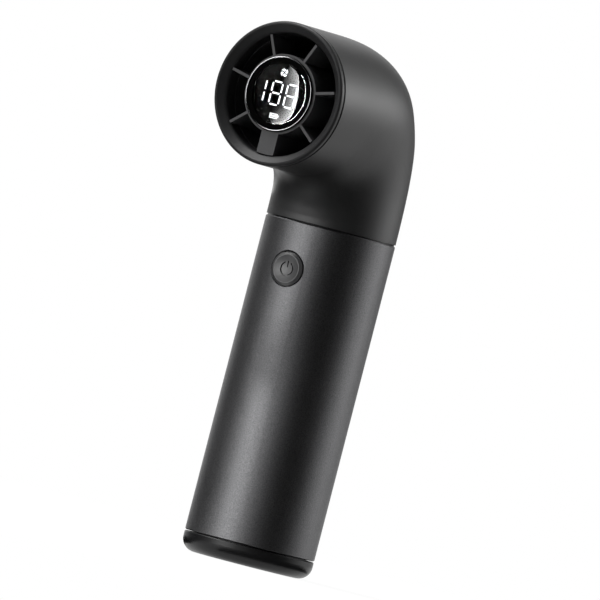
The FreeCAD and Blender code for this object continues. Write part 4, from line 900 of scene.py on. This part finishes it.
@dataclass(frozen=True)
class DisplayFront:
    """The display's domed cover and the bright ring round it, spun finely enough to mirror cleanly."""

    dome_sag_mm: float = 0.9
    edge_round_mm: float = 0.45
    ring_width_mm: float = 0.4
    back_facing: float = 0.95
    dome_steps: int = 14
    round_steps: int = 10
    corners: int = 180

    def cover_outline(self) -> list[tuple[float, float]]:
        """Half section of the cover: a shallow dome, a round edge and a flat back.

        Returns:
            Points of radius and y, from the dome's pole to the back's middle.
        """
        low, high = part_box("display_lens")
        radius = (high.x - low.x) / 2
        sag = self.dome_sag_mm * MM
        soft = self.edge_round_mm * MM
        ball = (radius ** 2 + sag ** 2) / (2 * sag)
        centre_y = low.y + ball
        edge_y = centre_y - math.sqrt((ball - soft) ** 2 - (radius - soft) ** 2)
        lean = math.asin((radius - soft) / (ball - soft))
        dome = [(ball * math.sin(a), centre_y - ball * math.cos(a))
                for a in evenly(0.0, lean, self.dome_steps)[1:]]
        edge = [(radius - soft + soft * math.sin(a), edge_y - soft * math.cos(a))
                for a in evenly(lean, math.pi / 2, self.round_steps)[1:]]
        return [(0.0, low.y)] + dome + edge + [(radius, high.y), (0.0, high.y)]

    def ring_outline(self) -> list[tuple[float, float]]:
        """Section of the ring: half round in front, square behind.

        Returns:
            Points of radius and y, all round the section.
        """
        low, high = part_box("chrome_ring")
        outer = (high.x - low.x) / 2
        half = self.ring_width_mm * MM / 2
        front = [(outer - half - half * math.cos(a), low.y + half - half * math.sin(a))
                 for a in evenly(0.0, math.pi, self.round_steps)]
        return front + [(outer, high.y), (outer - 2 * half, high.y)]

    def cover_face(self, facing_back: float) -> CoverFace:
        """The side of the cover that a face is on, from how far it faces backwards."""
        if facing_back > self.back_facing:
            return CoverFace.BACK
        return CoverFace.EDGE if abs(facing_back) < 1 - self.back_facing else CoverFace.FRONT

    def build(self, dressing: Dressing) -> list[bpy.types.Object]:
        """Makes both pieces and puts them on the housing.

        Args:
            dressing: Where the finishes come from.

        Returns:
            The cover and the ring.
        """
        cover = spin_on_nozzle("display_cover", self.cover_outline(), self.corners, False,
                               dressing.material("smoked_glass"))
        for finish in ("gloss_black", "bonded_back"):
            cover.data.materials.append(dressing.material(finish))
        for face in cover.data.polygons:
            face.material_index = self.cover_face(face.normal.y).value
        ring = spin_on_nozzle("display_trim_ring", self.ring_outline(), self.corners, True,
                              dressing.material("bright_ring"))
        return [settle(cover, Body.HOUSING, "smoked_glass", "display_lens"),
                settle(ring, Body.HOUSING, "bright_ring", "chrome_ring")]


@dataclass(frozen=True)
class CoilWire:
    """Enamelled wire wound in layers round the motor's teeth, one unbroken length to a tooth."""

    teeth: int = 6
    wire_mm: float = 0.35
    turns: int = 13
    layers: int = 3
    steps: int = 28
    half_width_mm: float = 2.55
    corner_power: float = 0.35
    sides: int = 6

    def build(self, dressing: Dressing) -> bpy.types.Object:
        """Makes all the coils as one piece that stands for the plain windings.

        Args:
            dressing: Where the finish comes from.

        Returns:
            The piece.
        """
        low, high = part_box("stator_windings")
        wire = self.wire_mm * MM
        form = Form("winding_wire")
        turns = form.size("Turns in a layer", self.turns)
        steps = form.size("Steps in a turn", self.steps)
        thick = form.size("Wire diameter", wire)
        half_x = form.size("Half width", self.half_width_mm * MM - wire / 2)
        half_y = form.size("Half length", (high.y - low.y - wire) / 2)
        top = form.size("Outer radius", (high.z - low.z) / 2 - wire)
        corner_power = form.size("Corner power", self.corner_power)
        axis = form.size("Nozzle axis", Vector((0.0, 0.0, (low.z + high.z) / 2)))
        index = form.node("InputIndex")
        turn = index / steps
        layer = turn // turns
        clock = turn * math.tau
        across = self.square_off(clock.apply("COSINE"), corner_power) * (half_x - layer * thick)
        along = self.square_off(clock.apply("SINE"), corner_power) * (half_y - layer * thick)
        rise = top - turn.combine("PINGPONG", turn, turns) * thick
        place = form.node("ShaderNodeCombineXYZ", sockets={
            "X": across, "Y": along + (low.y + high.y) / 2, "Z": rise})
        line = form.node("MeshLine", {"mode": "OFFSET"}, {"Count": self.turns * self.layers * self.steps})
        path = form.node("SetPosition", sockets={"Geometry": line, "Position": place})
        curve = form.node("MeshToCurve", sockets={"Mesh": path})
        section = form.node("CurvePrimitiveCircle", {"mode": "RADIUS"}, {
            "Resolution": self.sides, "Radius": thick / 2})
        coil = form.node("CurveToMesh", sockets={
            "Curve": curve, "Profile Curve": section, "Fill Caps": True})
        teeth = form.node("MeshLine", {"mode": "OFFSET"}, {
            "Count": self.teeth, "Start Location": axis, "Offset": (0.0, 0.0, 0.0)})
        spin = form.node("ShaderNodeCombineXYZ", sockets={"Y": index * (math.tau / self.teeth)})
        coils = form.node("InstanceOnPoints", sockets={"Points": teeth, "Instance": coil, "Rotation": spin})
        smooth = form.node("SetShadeSmooth", sockets={"Geometry": coils})
        piece = form.bake(smooth, dressing.material("copper"))
        return settle(piece, Body.HOUSING, "copper", "stator_windings")

    @staticmethod
    def square_off(wave: Socket, power: Socket) -> Socket:
        """A sine or cosine flattened towards 1 and -1, which rounds a circle out to a rectangle."""
        return abs(wave) ** power * wave.apply("SIGN")


@dataclass(frozen=True)
class SocketContacts:
    """Two rows of contacts on the tongue of the charging socket."""

    in_a_row: int = 12
    pitch_mm: float = 0.5
    contact_mm: Triple = (0.26, 0.05, 3.8)
    tongue_half_mm: float = 0.37
    setback_mm: float = 1.2

    def build(self, dressing: Dressing) -> bpy.types.Object:
        """Makes the contacts.

        Args:
            dressing: Where the finish comes from.

        Returns:
            All the contacts as one piece.
        """
        low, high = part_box("usb_socket")
        middle = (low + high) / 2
        length = self.contact_mm[2] * MM
        form = Form("socket_contacts")
        in_a_row = form.size("Contacts in a row", self.in_a_row)
        pitch = form.size("Pitch", self.pitch_mm * MM)
        reach = form.size("Half thickness of the tongue", self.tongue_half_mm * MM)
        index = form.node("InputIndex")
        side = index // in_a_row * 2.0 - 1.0
        column = index % in_a_row - (self.in_a_row - 1) / 2
        place = form.node("ShaderNodeCombineXYZ", sockets={
            "X": column * pitch + middle.x, "Y": side * reach + middle.y,
            "Z": low.z + self.setback_mm * MM + length / 2})
        points = form.node("MeshLine", {"mode": "OFFSET"}, {"Count": 2 * self.in_a_row})
        rows = form.node("SetPosition", sockets={"Geometry": points, "Position": place})
        bar = form.node("MeshCube", sockets={"Size": tuple(measure * MM for measure in self.contact_mm)})
        contacts = form.node("InstanceOnPoints", sockets={"Points": rows, "Instance": bar})
        return settle(form.bake(contacts, dressing.material("brass")), Body.HOUSING, "brass")


@dataclass(frozen=True)
class Viewpoint:
    """Camera at the photograph's angle, rolled as the blower leans there."""

    azimuth_deg: float = 30.25
    elevation_deg: float = -0.19
    roll_deg: float = 14.46
    distance: float = 5.0
    middle_height: float = 0.0974
    shift: tuple[float, float] = (-0.00433, 0.00109)
    view_span: float = 0.21611
    sensor_mm: float = 36.0
    clip_end: float = 100.0

    def axes(self) -> tuple[Vector, Vector, Vector]:
        """The camera's own directions.

        Returns:
            Unit vectors to the image's right, up and towards the camera.
        """
        turn = math.radians(self.azimuth_deg)
        lift = math.radians(self.elevation_deg)
        roll = math.radians(self.roll_deg)
        right = Vector((math.cos(turn), math.sin(turn), 0.0))
        back = Vector((math.sin(turn) * math.cos(lift), -math.cos(turn) * math.cos(lift), math.sin(lift)))
        up = back.cross(right)
        return (right * math.cos(roll) + up * math.sin(roll),
                up * math.cos(roll) - right * math.sin(roll), back)

    def add(self) -> bpy.types.Object:
        """Makes the camera and sets it as the scene's.

        Returns:
            The camera.
        """
        data = bpy.data.cameras.new("camera")
        data.sensor_width = self.sensor_mm
        data.sensor_height = self.sensor_mm
        data.lens = self.sensor_mm * self.distance / self.view_span
        data.clip_end = self.clip_end
        camera = bpy.data.objects.new("camera", data)
        bpy.context.scene.collection.objects.link(camera)
        right, up, back = self.axes()
        target = Vector((0.0, 0.0, self.middle_height)) + right * self.shift[0] + up * self.shift[1]
        place = target + back * self.distance
        turn = Matrix((right, up, back)).transposed().to_4x4()
        camera.matrix_world = Matrix.Translation(place) @ turn
        bpy.context.scene.camera = camera
        return camera


def on_sky(azimuth_deg: float, elevation_deg: float, distance: float,
           middle: Vector = STUDIO_MIDDLE) -> Vector:
    """A place seen from a middle point.

    Args:
        azimuth_deg: Direction round the blower, counted from -Y towards +X.
        elevation_deg: Angle above the horizon.
        distance: Distance from the middle point.
        middle: The point that it is seen from.

    Returns:
        The place.
    """
    turn = math.radians(azimuth_deg)
    lift = math.radians(elevation_deg)
    return middle + distance * Vector(
        (math.sin(turn) * math.cos(lift), -math.cos(turn) * math.cos(lift), math.sin(lift)))


def stage_sheet(name: str, points: list[Vector], faces: list[tuple[int, ...]],
                material: bpy.types.Material) -> bpy.types.Object:
    """Makes a mesh that belongs to the studio.

    Args:
        name: The object's name.
        points: Its corners.
        faces: Its faces, as indices of the corners.
        material: Its material.

    Returns:
        The staged object.
    """
    mesh = bpy.data.meshes.new(name)
    mesh.from_pydata(points, [], faces)
    mesh.materials.append(material)
    sheet = bpy.data.objects.new(name, mesh)
    bpy.context.scene.collection.objects.link(sheet)
    return sheet


def outlook(azimuth_deg: float, elevation_deg: float, distance: float,
            middle: Vector) -> tuple[Vector, Vector, Vector]:
    """A place seen from a middle point, with its own directions.

    Args:
        azimuth_deg: Direction round the blower, counted from -Y towards +X.
        elevation_deg: Angle above the horizon.
        distance: Distance from the middle point.
        middle: The point that it is seen from.

    Returns:
        The place, and unit vectors to its right and up.
    """
    centre = on_sky(azimuth_deg, elevation_deg, distance, middle)
    across = (on_sky(azimuth_deg + 1.0, elevation_deg, distance, middle) - centre).normalized()
    up = across.cross(middle - centre).normalized()
    return centre, across, up if up.z > 0 else -up


def light_only(light: bpy.types.Object, lit_pieces: list[bpy.types.Object]) -> None:
    """Lets a small light shine on some pieces only.

    Args:
        light: The lamp or the glowing sheet.
        lit_pieces: The pieces that it lights.
    """
    receivers = bpy.data.collections.new(light.name + "_receivers")
    for piece in lit_pieces:
        receivers.objects.link(piece)
    light.light_linking.receiver_collection = receivers


def light_all_but(lamp: bpy.types.Object, spared: list[bpy.types.Object]) -> None:
    """Keeps a lamp's light off some pieces, as flags do in a studio.

    Args:
        lamp: The lamp.
        spared: The pieces that stay out of its light.
    """
    flagged = bpy.data.collections.new(lamp.name + "_flagged")
    for piece in spared:
        flagged.objects.link(piece)
    for row in flagged.collection_objects:
        row.light_linking.link_state = "EXCLUDE"
    lamp.light_linking.receiver_collection = flagged


def hide_from_all_but_gloss(card: bpy.types.Object) -> None:
    """Leaves a card visible in reflections and through glass only.

    Args:
        card: The card or the glowing sheet.
    """
    card.visible_camera = False
    card.visible_shadow = False
    card.visible_diffuse = False


@dataclass(frozen=True)
class SoftBox:
    """A rectangular lamp turned to the blower. Angles count from the camera's towards the image's right."""

    name: str
    azimuth_deg: float
    elevation_deg: float
    distance: float
    width: float
    tall: float
    watts: float
    middle: Vector = field(default_factory=lambda: STUDIO_MIDDLE)
    only: tuple[str, ...] = ()

    def add(self, camera_azimuth_deg: float, spared: list[bpy.types.Object]) -> bpy.types.Object:
        """Makes the lamp.

        Args:
            camera_azimuth_deg: Where the camera stands.
            spared: The pieces that stay out of its light, unless it lights some nodes only.

        Returns:
            The lamp.
        """
        data = bpy.data.lights.new(self.name, "AREA")
        data.shape = "RECTANGLE"
        data.size = self.width
        data.size_y = self.tall
        data.energy = self.watts
        lamp = bpy.data.objects.new(self.name, data)
        bpy.context.scene.collection.objects.link(lamp)
        azimuth = camera_azimuth_deg + self.azimuth_deg
        place = on_sky(azimuth, self.elevation_deg, self.distance, self.middle)
        turn = (self.middle - place).to_track_quat("-Z", "Y").to_matrix().to_4x4()
        lamp.matrix_world = Matrix.Translation(place) @ turn
        lamp.visible_camera = False
        if self.only:
            light_only(lamp, [frame["nodes"][name] for name in self.only])
        else:
            light_all_but(lamp, spared)
        return lamp


@dataclass(frozen=True)
class DarkCard:
    """A curved dark card that only reflections see, as stands beside glossy things in a studio."""

    name: str
    azimuths_deg: tuple[float, float]
    elevations_deg: tuple[float, float]
    radius: float = 2.6
    step_deg: float = 6.0

    def add(self, camera_azimuth_deg: float, material: bpy.types.Material,
            middle: Vector = STUDIO_MIDDLE) -> bpy.types.Object:
        """Makes the card.

        Args:
            camera_azimuth_deg: Where the camera stands.
            material: The card's material.
            middle: The point that the card curves round.

        Returns:
            The card.
        """
        low, high = self.elevations_deg
        first, last = self.azimuths_deg
        rows = max(1, round((high - low) / self.step_deg))
        columns = max(1, round((last - first) / self.step_deg))
        points = [on_sky(camera_azimuth_deg + azimuth, elevation, self.radius, middle)
                  for elevation in evenly(low, high, rows) for azimuth in evenly(first, last, columns)]
        faces = [(k, k + 1, k + columns + 2, k + columns + 1)
                 for row in range(rows) for k in range(row * (columns + 1), row * (columns + 1) + columns)]
        card = stage_sheet(self.name, points, faces, material)
        hide_from_all_but_gloss(card)
        return card


@dataclass(frozen=True)
class GlowDisc:
    """A small oval light that the display's cover mirrors as a crescent, bright outside and dark inside."""

    name: str = "glow_disc"
    azimuth_deg: float = -61.0
    elevation_deg: float = -1.0
    distance: float = 0.115
    half_width: float = 0.037
    half_height: float = 0.052
    strength: float = 28.0
    fade_power: float = 3.4
    fade_slant: float = 0.13
    fade_start: float = 0.02
    fade_width: float = 0.3
    top_dimming: float = 0.7
    receiver: str = "display_cover"
    corners: int = 64

    def add(self, camera_azimuth_deg: float, middle: Vector,
            receiver: bpy.types.Object) -> bpy.types.Object:
        """Makes the disc.

        Args:
            camera_azimuth_deg: Where the camera stands.
            middle: The middle of the display's cover.
            receiver: The only piece that it shines on.

        Returns:
            The disc.
        """
        azimuth = camera_azimuth_deg + self.azimuth_deg
        centre, across, up = outlook(azimuth, self.elevation_deg, self.distance, middle)
        rim = [centre + across * (self.half_width * math.cos(t)) + up * (self.half_height * math.sin(t))
               for t in evenly(0.0, math.tau, self.corners)[:-1]]
        shader = Shader(self.name)
        place = shader.place() - tuple(centre)
        side, height = (shader.node("VectorMath", {"operation": "DOT_PRODUCT"}, {0: place, 1: along}, "Value")
                        for along in (across / self.half_width, up / self.half_height))
        from_middle = (side * side + height * height) ** 0.5
        bright_side = ((side - height * self.fade_slant + self.fade_start) / self.fade_width).in_unit()
        dimming = (1.0 - height * self.top_dimming).at_most(1.0)
        colour = shader.blend(from_middle ** self.fade_power * bright_side * dimming, BLACK, WHITE)
        light = shader.node("Emission", sockets={"Color": colour, "Strength": self.strength})
        disc = stage_sheet(self.name, rim, [tuple(range(self.corners))], shader.finish(light))
        hide_from_all_but_gloss(disc)
        light_only(disc, [receiver])
        return disc


@dataclass(frozen=True)
class GlowStrip:
    """A curved strip light round the direction that the display's cover mirrors."""

    name: str
    spread_deg: tuple[float, float]
    clock_deg: tuple[float, float]
    strength: float
    receiver: str
    azimuth_deg: float = -61.0
    distance: float = 0.1
    step_deg: float = 5.0

    def add(self, camera_azimuth_deg: float, middle: Vector,
            receiver: bpy.types.Object) -> bpy.types.Object:
        """Makes the strip.

        Args:
            camera_azimuth_deg: Where the camera stands.
            middle: The middle of the display's cover.
            receiver: The only piece that it shines on.

        Returns:
            The strip.
        """
        azimuth = camera_azimuth_deg + self.azimuth_deg
        centre, across, up = outlook(azimuth, 0.0, self.distance, middle)
        ahead = (centre - middle).normalized()
        first, last = self.clock_deg
        count = round((last - first) / self.step_deg)
        points = []
        for clock in map(math.radians, evenly(first, last, count)):
            outwards = across * math.cos(clock) + up * math.sin(clock)
            points += [middle + self.distance * (ahead * math.cos(spread) + outwards * math.sin(spread))
                       for spread in map(math.radians, self.spread_deg)]
        faces = [(2 * k, 2 * k + 1, 2 * k + 3, 2 * k + 2) for k in range(count)]
        shader = Shader(self.name)
        light = shader.node("Emission", sockets={"Color": WHITE, "Strength": self.strength})
        strip = stage_sheet(self.name, points, faces, shader.finish(light))
        hide_from_all_but_gloss(strip)
        light_only(strip, [receiver])
        return strip


@dataclass(frozen=True)
class Studio:
    """Plain white studio: floor, world, lamps and cards."""

    camera_azimuth_deg: float
    floor_half: float = 6.0
    floor_white: float = 0.95
    floor_cast: float = 0.85
    floor_drop: float = 0.0001
    shadow_reach: float = 0.6
    world_grey: float = 0.2
    card_black: float = 0.004
    floor_card_lift: float = 0.0002
    floor_card_radii: tuple[float, float] = (0.026, 2.5)
    floor_card_step_deg: float = 6.0
    floor_card_sectors_deg: tuple[tuple[float, float], ...] = ((-150.0, -75.0), (-32.0, 95.0))
    spared_nodes: tuple[str, ...] = ("display_bezel", "display_module", "display_segments")
    lamps: tuple[SoftBox, ...] = (
        SoftBox("key_box", -45.0, 10.0, 2.0, 1.15, 0.85, 18.3),
        SoftBox("leaning_box", -74.0, 33.0, 2.0, 1.3, 0.85, 14.8),
        SoftBox("top_left_box", -90.0, 57.0, 2.0, 1.0, 1.07, 60.0),
        SoftBox("side_box", 100.0, 6.0, 2.0, 1.4, 0.6, 1.8),
        SoftBox("middle_side_box", 116.0, 17.0, 2.0, 1.0, 0.45, 9.2),
        SoftBox("high_side_box", 98.0, 42.0, 2.0, 1.2, 0.6, 9.2),
        SoftBox("back_box", 180.0, 33.0, 2.0, 1.8, 1.2, 3.1),
        SoftBox("tube_top_box", -46.0, 2.0, 0.15, 0.085, 0.05, 0.045, TUBE_TOP,
                ("handle_tube", "head_shell", "power_button")),
        SoftBox("crease_box", -172.0, -12.0, 0.03, 0.008, 0.004, 0.0002, NECK_CREASE, ("head_shell",)),
    )
    cards: tuple[DarkCard, ...] = (
        DarkCard("front_card", (0.0, 76.0), (-2.0, 50.0)),
        DarkCard("upper_front_card", (-45.0, 0.0), (36.0, 50.0)),
        DarkCard("top_card", (-45.0, 180.0), (50.0, 89.0)),
        DarkCard("left_card", (-132.0, -66.0), (-2.0, 22.0)),
        DarkCard("back_left_card", (-144.0, -122.0), (22.0, 44.0)),
        DarkCard("back_right_card", (126.0, 165.0), (-2.0, 50.0)),
    )
    cover_card: DarkCard = DarkCard("cover_card", (-112.0, 20.0), (-24.0, 42.0), 0.16)
    glows: tuple[Union[GlowDisc, GlowStrip], ...] = (
        GlowDisc(),
        GlowStrip("cover_edge_strip", (52.0, 84.0), (-105.0, 60.0), 70.0, "display_cover"),
        GlowStrip("ring_strip", (10.0, 110.0), (100.0, 195.0), 14.0, "display_trim_ring"),
    )

    @staticmethod
    def seen(shader: Shader) -> Socket:
        """Finds the rays that show the background: straight, mirrored or through glass.

        Args:
            shader: The tree that asks.

        Returns:
            1 for those rays, else 0.
        """
        straight = shader.node("LightPath", output="Is Camera Ray")
        mirrored = shader.node("LightPath", output="Is Glossy Ray")
        through = shader.node("LightPath", output="Is Transmission Ray")
        return straight.at_least(mirrored).at_least(through)

    def world(self) -> None:
        """White where it is seen, a soft grey as light."""
        world = bpy.data.worlds.new("studio")
        bpy.context.scene.world = world
        world.use_nodes = True
        shader = Shader("", world.node_tree)
        colour = shader.blend(self.seen(shader), lit(WHITE, self.world_grey), WHITE)
        shader.finish(shader.node("Background", sockets={"Color": colour, "Strength": 1.0}))

    def floor(self) -> bpy.types.Object:
        """Makes the pale floor: white where it is seen, with the object's shadow, and clear from below.

        Returns:
            The floor.
        """
        shader = Shader("floor")
        cast = shader.node("BsdfDiffuse", sockets={"Color": lit(WHITE, self.floor_cast)})
        white = shader.node("Emission", sockets={"Color": WHITE, "Strength": 1.0})
        away = shader.node("VectorMath", {"operation": "LENGTH"}, {0: shader.place()}, "Value")
        plain = (away / self.shadow_reach).at_most(1.0) * (1.0 - self.floor_white) + self.floor_white
        mixed = shader.node("MixShader", sockets={0: self.seen(shader) * plain, 1: cast, 2: white})
        clear = shader.node("BsdfTransparent")
        below = shader.node("NewGeometry", output="Backfacing")
        sided = shader.node("MixShader", sockets={0: below, 1: mixed, 2: clear})
        half = self.floor_half
        corners = [Vector((x * half, y * half, -self.floor_drop))
                   for x, y in ((-1, -1), (1, -1), (1, 1), (-1, 1))]
        return stage_sheet("floor", corners, [(0, 1, 2, 3)], shader.finish(sided))

    def floor_card(self, material: bpy.types.Material) -> bpy.types.Object:
        """Makes dark sectors on the floor, which only reflections see.

        Args:
            material: Their material.

        Returns:
            All the sectors as one card.
        """
        points: list[Vector] = []
        faces: list[tuple[int, ...]] = []
        for first, last in self.floor_card_sectors_deg:
            count = round((last - first) / self.floor_card_step_deg)
            start = len(points)
            for azimuth in evenly(first, last, count):
                turn = math.radians(self.camera_azimuth_deg + azimuth)
                points += [Vector((math.sin(turn) * r, -math.cos(turn) * r, self.floor_card_lift))
                           for r in self.floor_card_radii]
            faces += [(k, k + 1, k + 3, k + 2) for k in range(start, start + 2 * count, 2)]
        card = stage_sheet("floor_card", points, faces, material)
        hide_from_all_but_gloss(card)
        return card

    def build(self, receivers: dict[str, bpy.types.Object]) -> None:
        """Sets the whole studio up.

        Args:
            receivers: The pieces that have small lights of their own, by name.
        """
        self.world()
        self.floor()
        spared = [frame["nodes"][name] for name in self.spared_nodes] + list(receivers.values())
        for lamp in self.lamps:
            lamp.add(self.camera_azimuth_deg, spared)
        shader = Shader("dark_card")
        dark = shader.finish(shader.node("BsdfDiffuse", sockets={"Color": lit(WHITE, self.card_black)}))
        for card in self.cards:
            card.add(self.camera_azimuth_deg, dark)
        self.floor_card(dark)
        low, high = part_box("display_lens")
        cover = (low + high) / 2
        self.cover_card.add(self.camera_azimuth_deg, dark, cover)
        for glow in self.glows:
            glow.add(self.camera_azimuth_deg, cover, receivers[glow.receiver])


def set_view() -> None:
    """Plain colour transform, so that a colour renders as it is written."""
    bpy.context.scene.view_settings.view_transform = "Standard"


def main() -> None:
    """Builds the camera, the studio and every sub-assembly's looks."""
    logging.basicConfig(level=logging.INFO, format="%(message)s")
    set_view()
    view = Viewpoint()
    view.add()
    dressing = Dressing(frame["record"], frame["nodes"])
    dressing.dress()
    display = DisplayFront().build(dressing)
    CoilWire().build(dressing)
    SocketContacts().build(dressing)
    Studio(view.azimuth_deg).build({piece.name: piece for piece in display})


if __name__ == "__main__":
    main()
